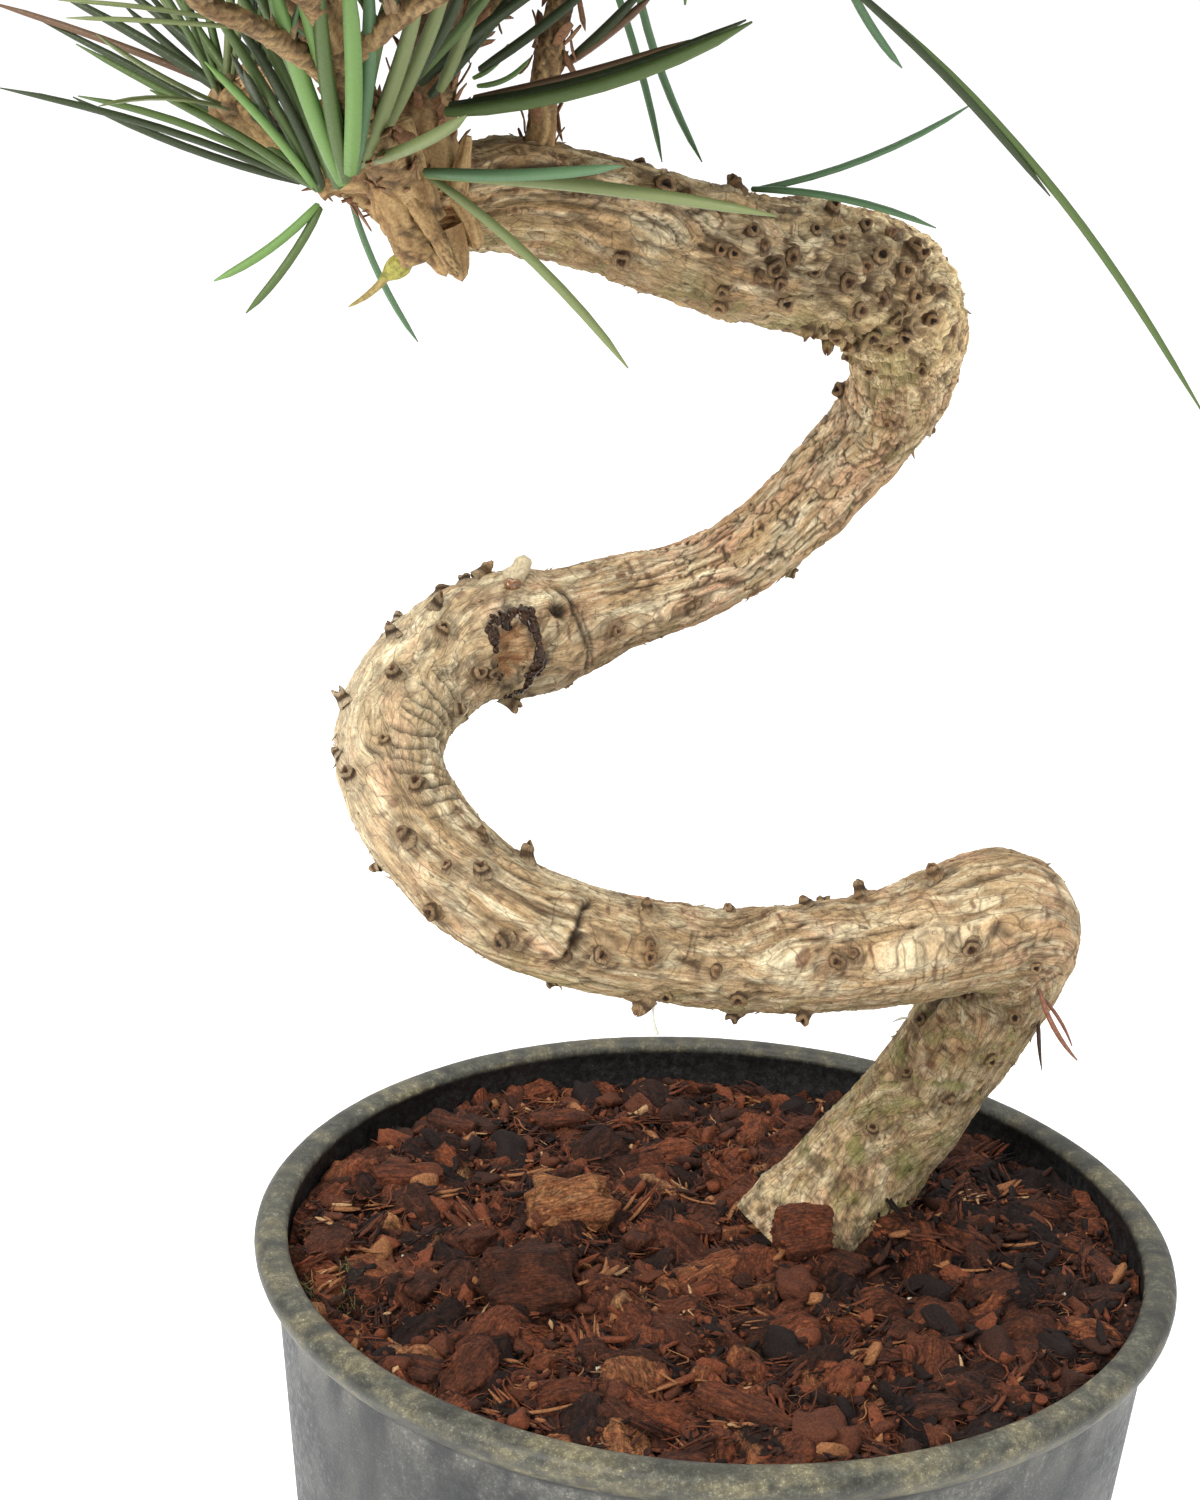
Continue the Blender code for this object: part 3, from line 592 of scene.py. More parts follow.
def near_line(points, line, reach):
    """Distance to a broken line and the share of its length passed, for the points of a ring range near it."""
    low, high = line.min(0) - reach, line.max(0) + reach
    box = ((points > low) & (points < high)).all(-1)
    rows = np.where(box.any(1))[0]
    if not len(rows):
        return None
    lo, hi = rows[0], rows[-1] + 1
    local = points[lo:hi]
    best = np.full(local.shape[:2], 99.0)
    share = np.zeros(local.shape[:2])
    steps = np.linalg.norm(np.diff(line, axis=0), axis=1)
    total, done = steps.sum(), 0.0
    for a, b, step in zip(line, line[1:], steps):
        t = np.clip(((local - a) @ (b - a)) / max(step**2, 1e-9), 0, 1)
        d = np.linalg.norm(local - (a + t[..., None] * (b - a)), axis=-1)
        closer = d < best
        best = np.where(closer, d, best)
        share = np.where(closer, (done + t * step) / total, share)
        done += step
    return lo, hi, best, share


def build_stem():
    stem = stem_grid()
    s, turn = stem.s[:, None], stem.turn[None, :]
    zero = 0 * s + 0 * turn
    lobes = 1 + stem.flare[:, None] * (0.25 + 0.30 * np.cos(3 * turn + 0.6) + 0.20 * np.cos(5 * turn + 2.0))
    toe = smooth(0.05, 0.95, stem.out @ unit(np.array([-0.70, -0.66, -0.28])))
    lobes = lobes + 2.4 * stem.flare[:, None] * toe - 0.9 * stem.flare[:, None] * smooth(0.2, 0.9, stem.out @ unit(np.array([-0.80, 0.60, 0.0])))
    radius = stem.radius[:, None] * lobes
    clear = stem.inner * radius
    squeeze = np.where(clear > 0, (1 + (np.maximum(clear, 0) / 0.92) ** 10) ** -0.1, 1.0)
    smooth_points = stem.centre[:, None] + stem.out * (radius * squeeze)[..., None]
    rough = smooth_points
    cosine, sine = np.cos(turn) + zero, np.sin(turn) + zero
    drift = 0.30 * vnoise(np.stack([s / 16.0 + zero, cosine * 1.3, sine * 1.3], -1), 90) + 0.10 * vnoise(np.stack([s / 5.0 + zero, cosine * 2.5, sine * 2.5], -1), 91)
    cos_d, sin_d = np.cos(turn + drift), np.sin(turn + drift)

    def grain(wide, long, seed, octaves=2):
        """Noise drawn out along the wandering grain: bands of one width across, in mm, and one length along."""
        return fbm(np.stack([cos_d * 8.6 / wide, sin_d * 8.6 / wide, s / long + zero], -1), octaves, seed)

    lump = 0.50 * fbm(rough / 11.0, 2, 3) + 0.30 * fbm(rough / 4.4, 2, 5)
    region = fbm(rough / 13.0, 2, 41)
    g1, g2, g3, g4 = grain(2.6, 20.0, 11), grain(1.4, 12.0, 12), grain(0.8, 7.0, 13), grain(0.45, 4.5, 14)
    mask_a, mask_b = grain(3.0, 8.0, 15), grain(2.0, 5.0, 16)
    crack_a = np.exp(-((g1 / 0.045) ** 2)) * smooth(-0.15, 0.25, mask_a)
    crack_b = np.exp(-((g2 / 0.060) ** 2)) * smooth(-0.05, 0.35, mask_b)
    crack_c = np.exp(-((g3 / 0.080) ** 2)) * smooth(0.0, 0.40, grain(1.6, 4.0, 17))
    ridge = 1 - np.abs(g2) * 2.2
    ridge_fine = 1 - np.abs(g3) * 2.0

    # where the bark is of one kind or another
    at = lambda place, wide: np.exp(-(((stem.s - place) / wide) ** 2))[:, None] + zero
    foot = np.exp(-np.maximum(stem.s, 0) / 34.0)[:, None] + zero
    knot = np.clip(at(346.0, 19.0) + 0.55 * at(326.0, 14.0), 0, 1)
    limb = smooth(352.0, 372.0, s) + zero
    plated = smooth(246.0, 256.0, s) * (1 - smooth(322.0, 336.0, s)) + zero
    bend_left = at(202.0, 26.0)

    # long plates with steps between them
    cells = np.stack([cos_d * 8.6 / 3.4, sin_d * 8.6 / 3.4, s / 8.5 + zero], -1) + 0.30 * np.stack([vnoise(rough / 2.0, 51), vnoise(rough / 2.0, 52), vnoise(rough / 2.4, 53)], -1)
    first, second, plate = worley(cells, 61)
    plate_crack = 1 - smooth(0.015, 0.085, second - first)
    # small rough flakes for the foot and the knotted bend
    cells = np.stack([cos_d * 8.6 / 1.7, sin_d * 8.6 / 1.7, s / 2.6 + zero], -1) + 0.35 * vnoise(rough / 1.2, 54)[..., None]
    first_s, second_s, flake = worley(cells, 67)
    flake_crack = 1 - smooth(0.02, 0.15, second_s - first_s)
    fine = fbm(rough / 0.75, 2, 71)

    fibrous = np.clip(0.55 + 0.55 * limb + 0.2 * region - 0.4 * foot - 0.5 * knot, 0.12, 1.15)
    h = lump
    h = h + fibrous * (0.26 * (ridge - 0.5) + 0.17 * (ridge_fine - 0.5) + 0.16 * g4)
    h = h + limb * 0.40 * (ridge - 0.5)
    h = h - 0.42 * crack_a - 0.26 * crack_b - 0.15 * crack_c
    h = h + (0.35 + 0.65 * plated) * (0.34 * (plate - 0.5) - 0.26 * plate_crack)
    h = h + (0.14 + 0.5 * foot + 0.55 * knot) * (0.42 * (flake - 0.5) - 0.34 * flake_crack)
    h = h + 0.07 * fine + knot * (0.95 * fbm(rough / 2.6, 3, 77) - 0.55 * smooth(0.10, 0.30, 0.5 - np.abs(fbm(rough / 4.2, 2, 78)) * 6.0))

    dark = np.zeros_like(h)
    for pixels, half, depth, strength, run_on in LINES:
        half, strength = 1.25 * half, min(1.0, 1.10 * strength)
        line = line_places(stem, smooth_points, pixels, run_on)
        found = near_line(smooth_points, line, 3.0 * half + 0.5)
        if found is None:
            continue
        lo, hi, d, share = found
        taper = smooth(0.0, 0.14, share) * (1 - smooth(0.92 if run_on else 0.86, 1.0, share))
        cut = np.exp(-((d / half) ** 2)) * taper
        lip = np.exp(-(((d - 1.9 * half) / (0.8 * half)) ** 2)) * taper
        h[lo:hi] += 0.22 * depth * lip - depth * cut
        dark[lo:hi] = np.maximum(dark[lo:hi], strength * cut)
    for u, v, half_s, half_t, high in SWELLS:
        i, j = on_stem(stem, smooth_points, u, v)
        axis, out = stem.tangent[i], stem.out[i, j]
        delta = smooth_points - smooth_points[i, j]
        q = ((delta @ axis) / half_s) ** 2 + ((delta @ np.cross(axis, out)) / half_t) ** 2 + ((delta @ out) / 6.0) ** 2
        h = h + high * np.exp(-q)
    # folds pressed together on the hidden insides of the bends, their grooves painted dark as painted shade
    inner = clear
    for k, place in enumerate((62.0, 65.5, 69.5, 73.0, 77.5, 331.0, 335.5, 340.0, 344.5, 349.0, 353.5, 228.0, 222.0)):
        wave = place + 0.9 * vnoise(np.stack([cosine * 2, sine * 2, zero + k * 3.1], -1), 81)
        cut = np.exp(-(((s - wave) / 0.38) ** 2)) * smooth(0.22, 0.60, inner)
        h = h - 0.6 * cut
        dark = np.maximum(dark, 0.8 * cut)

    # the old wound: a sunken floor within a raised lip
    wi, wj = on_stem(stem, smooth_points, *WOUND)
    wound = smooth_points[wi, wj]
    axis, out = stem.tangent[wi], stem.out[wi, wj]
    round_it = np.cross(axis, out)
    delta = smooth_points - wound
    q = np.sqrt(((delta @ axis) / 3.2) ** 2 + ((delta @ round_it) / 5.4) ** 2 + ((delta @ out) / 9.0) ** 2) + 0.24 * vnoise(smooth_points / 1.9, 92) + 0.14 * vnoise(smooth_points / 0.8, 96)
    h = h * (1 - 0.6 * (1 - smooth(0.8, 1.1, q)))
    h = h + 0.90 * np.exp(-(((q - 1.22) / 0.28) ** 2)) - 1.25 * (1 - smooth(0.55, 1.0, q)) + 0.45 * (1 - smooth(0.7, 1.0, q)) * grain(1.2, 4.0, 93)
    # the hollow beside it, painted near black inside as painted shade
    hi_, hj = on_stem(stem, smooth_points, 558, 610)
    delta = smooth_points - smooth_points[hi_, hj]
    hollow = np.sqrt((delta**2).sum(-1)) / 1.55 + 0.25 * vnoise(smooth_points / 1.1, 94)
    h = h + 0.55 * np.exp(-(((hollow - 1.35) / 0.35) ** 2)) - 1.6 * (1 - smooth(0.35, 1.0, hollow))
    dark = np.maximum(dark, 0.95 * (1 - smooth(0.5, 1.0, hollow)))

    # mounds under the bud scars, and the scars' places
    scars = []
    for u, v, wide, high, is_open in SCARS:
        i, j = on_stem(stem, smooth_points, u, v)
        scars.append((i, j, wide, high, is_open))
    phase = 0.0
    taken = [smooth_points[a, b] for a, b, *_ in scars]
    for i in range(80, STEM_RINGS - 40, 5):
        phase += 2.399963
        if RNG.random() < 0.34 + 0.5 * float(knot[i, 0]):
            j = int(((phase + RNG.normal(0, 0.35)) % (2 * np.pi)) / (2 * np.pi) * STEM_ROUND) % STEM_ROUND
            p = smooth_points[i, j]
            gap = np.linalg.norm(np.array(taken) - p, axis=1).min()
            if np.linalg.norm(p - wound) < 9 or gap < 3.4:
                continue
            if stem.facing[i, j] > -0.05 and (RNG.random() > 0.16 or gap < 6.0):
                continue
            scars.append((i, j, RNG.uniform(1.7, 2.8), RNG.uniform(0.6, 1.7), int(RNG.random() < 0.75)))
            taken.append(p)
    near_scar, scar_groove_shade = np.zeros_like(h), np.zeros_like(h)
    for i, j, wide, high, _ in scars:
        lo, hi = max(0, i - 20), min(STEM_RINGS, i + 21)
        delta = smooth_points[lo:hi] - smooth_points[i, j]
        along = delta @ stem.tangent[i]
        d = np.sqrt(np.maximum((delta**2).sum(-1) - 0.45 * along**2, 0)) / (wide * 0.62)
        h[lo:hi] += 0.42 * np.exp(-(d**2)) - 0.20 * np.exp(-(((d - 1.5) / 0.3) ** 2))
        near_scar[lo:hi] = np.maximum(near_scar[lo:hi], np.exp(-((d / 1.05) ** 2)))
        scar_groove_shade[lo:hi] = np.maximum(scar_groove_shade[lo:hi], np.exp(-(((d - 1.5) / 0.35) ** 2)))

    # torn, uneven end of the stem at the whorl
    torn = smooth(stem.s[-1] - 12.0, stem.s[-1] - 3.0, s) + zero
    h = h + torn * (0.9 * fbm(rough / 2.3, 3, 95) + 0.5 * (ridge - 0.5))
    h = np.where(stem.s[:, None] > stem.s[-1] - 0.4, 0.0, h)

    full = np.maximum((radius * squeeze) + h, 0.05)
    points = stem.centre[:, None] + stem.out * full[..., None]
    stem.points, stem.smooth_points, stem.scars = points, smooth_points, scars

    # colour: warm creams and tans, pinkish and orange scales, dark in cracks, and painted shade in the folds, cut lines
    # and hollow
    def tone(r, g, b):
        return np.array(srgb(r, g, b))

    def blend(base, colour, share):
        share = np.clip(share, 0, 1)[..., None]
        return base * (1 - share) + colour * share

    value = 0.5 + 0.60 * grain(1.8, 9.0, 101, 3) + 0.30 * g3 + 0.20 * region
    rgb = blend(np.broadcast_to(tone(186, 158, 122), points.shape), tone(220, 202, 170), smooth(0.50, 0.86, value))
    rgb = blend(rgb, tone(152, 124, 88), 0.75 * (1 - smooth(0.12, 0.48, value)))
    rgb = blend(rgb, tone(198, 154, 126), 0.46 * smooth(0.10, 0.50, fbm(rough / 6.0, 3, 103)) + plated * 0.42 * smooth(0.35, 0.55, plate))
    rgb = blend(rgb, tone(174, 132, 86), 0.30 * smooth(0.18, 0.50, grain(1.3, 10.0, 104)) + 0.25 * plated * smooth(0.75, 0.95, plate))
    rgb = blend(rgb, tone(180, 172, 146), 0.45 * smooth(0.12, 0.5, fbm(rough / 3.6, 2, 105)))
    rgb = blend(rgb, tone(226, 214, 184), 0.55 * smooth(0.18, 0.5, grain(0.7, 9.0, 106)))
    rgb = blend(rgb, tone(120, 96, 66), 0.60 * smooth(0.14, 0.5, grain(0.6, 6.0, 107)))
    rgb = blend(rgb, tone(186, 164, 122), 0.55 * knot)
    rgb = blend(rgb, tone(150, 130, 92), 0.30 * limb * smooth(-0.1, 0.4, g2) + 0.10 * foot)
    rgb = blend(rgb, tone(214, 200, 164), knot * 0.60 * smooth(0.0, 0.35, grain(1.1, 10.0, 120)))
    rgb = blend(rgb, tone(186, 142, 92), limb * 0.30 * smooth(0.05, 0.40, grain(2.2, 16.0, 119)))
    rgb = rgb * (1.0 + 0.18 * g4[..., None] + 0.14 * (flake[..., None] - 0.5) + 0.14 * (ridge_fine[..., None] - 0.5))
    rgb = blend(rgb, tone(72, 54, 38), 0.88 * crack_a + 0.70 * crack_b)
    rgb = blend(rgb, tone(86, 64, 44), 0.60 * crack_c)
    rgb = blend(rgb, tone(66, 50, 36), plate_crack * (0.30 + 0.62 * plated))
    rgb = blend(rgb, tone(72, 54, 38), flake_crack * (0.12 + 0.50 * foot + 0.30 * knot))
    # painted shade: the knotted bend is darkened where its lumpy relief sinks
    rgb = blend(rgb, tone(52, 38, 26), knot * 0.90 * smooth(0.08, 0.36, -fbm(rough / 2.6, 3, 77)))
    rgb = blend(rgb, tone(62, 48, 32), 0.80 * foot * smooth(0.06, 0.36, -fbm(rough / 2.4, 3, 79)))
    speck = smooth(0.50, 0.62, vnoise(np.stack([cos_d * 8.6 / 1.5, sin_d * 8.6 / 1.5, s / 1.0 + zero], -1), 108)) * smooth(-0.1, 0.3, vnoise(rough / 5.0, 109))
    rgb = blend(rgb, tone(98, 62, 42), 0.80 * speck)
    dash = smooth(0.58, 0.70, vnoise(np.stack([cos_d * 8.6 / 2.2, sin_d * 8.6 / 2.2, s / 0.7 + zero], -1), 118)) * smooth(0.0, 0.3, vnoise(rough / 6.0, 117))
    rgb = blend(rgb, tone(84, 58, 40), 0.70 * dash)
    # painted shade: near black in the cut lines, in the folds on the insides of the bends and in the hollow by the
    # wound
    rgb = blend(rgb, tone(44, 32, 24), np.clip(dark, 0, 1))
    rgb = blend(rgb, tone(100, 76, 52), 0.70 * near_scar)
    # painted shade in the groove round each scar's mound
    rgb = blend(rgb, tone(70, 52, 36), 0.60 * scar_groove_shade * smooth(-0.3, 0.2, vnoise(rough / 1.6, 116)))
    # painted shade: the downward-facing side of the stem is painted a darker brown; the olive patches on that side are
    # algae
    under = smooth(0.1, 0.9, -stem.out[..., 2])
    rgb = blend(rgb, tone(128, 104, 72), 0.40 * under)
    rgb = blend(rgb, tone(124, 122, 76), 0.42 * under * smooth(-0.1, 0.4, fbm(rough / 3.4, 2, 112)))
    outer_left = smooth(0.25, 0.85, -stem.out[..., 0]) * bend_left
    rgb = blend(rgb, tone(224, 206, 180), 0.40 * outer_left)
    # painted light: the knotted upper bend, and a little the foot, are brightened against the shade that the crown and
    # the knee cast on them; the other terms make some regions lighter or darker
    rgb = rgb * (1 + 0.06 * foot + 0.40 * knot + 0.10 * plated - 0.10 * at(236.0, 16.0) + 0.10 * bend_left)[..., None]
    rgb = rgb * np.array([1.0, 1.02, 0.99])
    rgb = blend(rgb, tone(206, 196, 164), 0.22 * bend_left)
    rgb = blend(rgb, tone(208, 190, 146), 0.40 * foot * smooth(0.05, 0.40, fbm(rough / 2.2, 3, 122)))
    mossy = smooth(-0.05, 0.40, fbm(rough / 2.8, 3, 110)) * at(14.0, 10.0)
    rgb = blend(rgb, tone(112, 116, 58), 0.62 * mossy)
    rgb = blend(rgb, tone(132, 136, 78), 0.55 * smooth(0.10, 0.5, fbm(rough / 2.0, 2, 111)) * at(36.0, 20.0))
    rgb = blend(rgb, tone(182, 124, 70), 0.62 * torn * smooth(-0.3, 0.4, fbm(rough / 3.0, 2, 113)))
    inside = 1 - smooth(0.62, 1.0, q)
    rgb = blend(rgb, tone(158, 118, 80), 0.9 * inside)
    rgb = blend(rgb, tone(122, 76, 48), 0.75 * inside * smooth(-0.1, 0.35, grain(1.0, 4.0, 115)))
    rgb = blend(rgb, tone(196, 168, 128), 0.6 * inside * smooth(0.1, 0.4, fbm(rough / 1.4, 2, 97)))
    rgb = blend(rgb, tone(46, 34, 30), 0.80 * np.exp(-(((q - 1.05) / 0.20) ** 2)) * smooth(-0.35, 0.1, vnoise(rough / 1.6, 114)))
    rgb = blend(rgb, tone(96, 72, 50), 0.50 * np.exp(-(((q - 1.5) / 0.4) ** 2)) * smooth(-0.1, 0.3, fbm(rough / 1.5, 3, 98)))
    rgb = blend(rgb, tone(56, 40, 30), 0.55 * at(228.0, 17.0) * smooth(0.22, 0.48, -fbm(rough / 2.0, 3, 99)))
    ends = np.array([rgb[0].mean(0), rgb[-1].mean(0)])

    look = bark_look()
    along = np.stack([8.6 * cos_d, 8.6 * sin_d, s + zero], -1)
    m = stem.parting
    sunk = stem.centre[:, None] + stem.out * (full - 0.12)[..., None]

    def half(name, first_ring, last_ring, nodes, low_end):
        rows = np.arange(first_ring, last_ring + 1)
        grid = points[rows].copy()
        if low_end:
            grid[-1] = sunk[last_ring]
        else:
            grid[0] = sunk[first_ring]
        n, k = len(rows), STEM_ROUND
        j = np.arange(k)
        tip = stem.centre[0] if low_end else stem.centre[-1] + stem.tangent[-1] * 0.2
        flat = np.concatenate([grid.reshape(-1, 3), tip[None]])
        if low_end:
            cap = np.stack([np.full(k, n * k), j, (j + 1) % k], 1)[:, ::-1]
        else:
            cap = np.stack([np.full(k, n * k), (n - 1) * k + (j + 1) % k, (n - 1) * k + j], 1)[:, ::-1]
        mesh = make_mesh(name, flat, [grid_faces(n, k, flip=True), cap])
        point_colour(mesh, "bark", np.concatenate([rgb[rows].reshape(-1, 3), ends[:1] if low_end else ends[1:]]))
        point_vector(mesh, "along", np.concatenate([along[rows].reshape(-1, 3), along[rows[0] if low_end else rows[-1], :1]]))
        piece(name, mesh, look, nodes)

    half("bark_lower", 0, m + 1, STEM_NODES[:2], True)
    half("bark_upper", m - 1, STEM_RINGS - 1, STEM_NODES[2:], False)
    stem.rgb = rgb
    stem.look = look
    return stem


def turned_bits(places, outs, leans, wide, high, hollow, round_count=14):
    """Small rough cups, one at each place: a flared foot, a rim, and a sunken middle where hollow is 1."""
    # radius share, height share, of the profile from foot to middle
    profile = np.array(((1.35, -0.30), (1.12, 0.05), (0.92, 0.32), (0.86, 0.58), (0.90, 0.80), (0.80, 0.98), (0.62, 1.05), (0.46, 0.99), (0.36, 0.88), (0.22, 0.80), (0.08, 0.78)))
    shut = np.array(((1.35, -0.30), (1.12, 0.05), (0.92, 0.30), (0.82, 0.52), (0.74, 0.72), (0.62, 0.88), (0.50, 0.99), (0.38, 1.07), (0.26, 1.12), (0.15, 1.15), (0.06, 1.16)))
    count, rings = len(places), len(profile)
    turn = np.linspace(0, 2 * np.pi, round_count, endpoint=False)
    axis = unit(outs + 0.45 * leans)
    a, b = across(axis)
    share = hollow[:, None]
    rad = (profile[None, :, 0] * share + shut[None, :, 0] * (1 - share))[..., None] * (wide / 2)[:, None, None]
    up = (profile[None, :, 1] * share + shut[None, :, 1] * (1 - share))[..., None] * high[:, None, None]
    phase = RNG.uniform(0, 6.28, (count, 1, 1))
    wave = 0.06 * np.sin(3 * turn[None, None] + phase) + 0.05 * np.sin(5 * turn[None, None] + 2 * phase) + 0.12 * np.sin(2 * turn[None, None] + 3 * phase)
    rad = rad * (1 + wave + 0.045 * RNG.standard_normal((count, rings, round_count)))
    up = up * (1 + 0.16 * np.sin(2 * turn[None, None] + 1.7 * phase) + 0.05 * RNG.standard_normal((count, 1, round_count))) + 0.02 * RNG.standard_normal((count, rings, round_count))
    grid = (
        places[:, None, None]
        + a[:, None, None] * (rad * np.cos(turn))[..., None]
        + b[:, None, None] * (rad * np.sin(turn))[..., None]
        + axis[:, None, None] * up[..., None]
    )
    middle = grid[:, -1].mean(1, keepdims=True)
    points = np.concatenate([grid.reshape(count, -1, 3), middle], 1)
    quads = grid_faces(rings, round_count, flip=True)
    j = np.arange(round_count)
    cap = np.stack([np.full(round_count, rings * round_count), (rings - 1) * round_count + (j + 1) % round_count, (rings - 1) * round_count + j], 1)[:, ::-1]
    offset = (np.arange(count) * points.shape[1])[:, None, None]
    return points, (quads[None] + offset).reshape(-1, 4), (cap[None] + offset).reshape(-1, 3)


def build_scars(stem):
    rows = stem.scars
    i = np.array([r[0] for r in rows])
    j = np.array([r[1] for r in rows])
    places = stem.points[i, j] - stem.out[i, j] * 0.30
    outs, leans = stem.out[i, j], stem.tangent[i]
    outs = unit(outs + 0.20 * RNG.standard_normal(outs.shape))
    wide = np.array([r[2] for r in rows]) * 0.95
    high = np.array([r[3] for r in rows]) * 0.85 + 0.40
    hollow = np.array([float(r[4]) for r in rows])
    points, quads, caps = turned_bits(places, outs, leans, wide, high, hollow)
    count, per = points.shape[:2]
    rings = 11
    ring = np.concatenate([np.repeat(np.arange(rings), (per - 1) // rings), [rings]])[None] + np.zeros((count, 1))
    body = np.array(srgb(108, 84, 58)) * (1 + 0.24 * RNG.standard_normal((count, 1, 1))).clip(0.6, 1.5)
    skin = stem.rgb[i, j][:, None]
    shade = fbm(points / 0.7, 2, 121)[..., None]
    rgb = np.where((ring < 2)[..., None], 0.75 * skin + 0.25 * body, body) * (1 + 0.45 * shade)
    # painted shade: a dark band round the waist under each cup's lip
    scar_waist_shade = ((ring >= 2) & (ring <= 3))[..., None]
    rgb = np.where(scar_waist_shade, rgb * 0.45, rgb)
    lip = ((ring >= 4) & (ring <= 6))[..., None]
    rgb = np.where(lip, 0.5 * rgb * 1.3 + 0.55 * skin, rgb)
    # painted shade: the sunken middle of each open cup is painted darker than a closed cup's top, near black in some
    pit_shade = ((ring >= 8)[..., None]) & (hollow[:, None, None] > 0.5)
    deep = RNG.uniform(0, 1, (count, 1, 1)) < 0.4
    rgb = np.where(pit_shade, np.where(deep, np.array(srgb(44, 32, 24)), np.array(srgb(78, 56, 40))) * (1 + 0.3 * shade), rgb)
    crown = (ring >= 7)[..., None] & (hollow[:, None, None] < 0.5)
    rgb = np.where(crown, np.array(srgb(108, 80, 56)) * (1 + 0.4 * shade), rgb)
    mesh = make_mesh("bud_scars", points.reshape(-1, 3), [quads, caps])
    point_colour(mesh, "bark", np.clip(rgb, 0, 1).reshape(-1, 3))
    point_vector(mesh, "along", points.reshape(-1, 3))
    piece("bud_scars", mesh, stem.look)


def build_thorns(stem):
    """Thin lifted splinters of bark, most of them pointing back down the stem."""
    rows = []
    for u, v, size in THORNS:
        rows.append((*on_stem(stem, stem.smooth_points, u, v), size, 0.55))
    for _ in range(620):
        i = int(RNG.integers(60, STEM_RINGS - 20))
        rows.append((i, int(RNG.integers(0, STEM_ROUND)), RNG.uniform(0.5, 1.6), RNG.uniform(0.08, 0.42)))
    points, faces, colours = [], [], []
    for i, j, size, lift in rows:
        at, out = stem.points[i, j], stem.out[i, j]
        along = stem.tangent[i] * RNG.choice((-1.0, -1.0, 1.0))
        around = np.cross(out, along)
        along = unit(along + 0.3 * around * RNG.standard_normal())
        around = np.cross(out, along)
        half, thick = size * RNG.uniform(0.16, 0.36), 0.12
        tip = at + along * size + out * size * lift
        base = len(points)
        points += [at + around * half - out * 0.2, at - around * half - out * 0.2, at + around * half * 0.7 + out * thick + along * 0.2,
                   at - around * half * 0.7 + out * thick + along * 0.2, tip + around * half * 0.15, tip - around * half * 0.15]
        local = [(0, 2, 4), (3, 1, 5), (2, 3, 5), (2, 5, 4), (1, 0, 4), (1, 4, 5), (0, 1, 3), (0, 3, 2)]
        faces += [tuple(k + base for k in f) for f in local]
        colours += [stem.rgb[i, j] * RNG.uniform(0.55, 1.05)] * 6
    mesh = make_mesh("bark_splinters", np.array(points), [np.array(faces)[:, ::-1]], shade=False)
    point_colour(mesh, "bark", np.array(colours))
    point_vector(mesh, "along", np.array(points))
    piece("bark_splinters", mesh, stem.look)


def surface_strand(stem, pixels, radii, lift=0.0):
    """A strand that lies on the stem's surface along a line of pixels."""
    places = [on_stem(stem, stem.smooth_points, u, v) for u, v in pixels]
    line = np.array([stem.points[i, j] + stem.out[i, j] * lift for i, j in places])
    fine, s = resample(line, 0.55)
    for _ in range(2):
        fine[1:-1] = (fine[:-2] + 2 * fine[1:-1] + fine[2:]) / 4
    width = np.interp(s / s[-1], np.linspace(0, 1, len(radii)), radii)
    width = width * (1 + 0.35 * vnoise(fine / 0.9, 301))
    return fine[None], width[None]


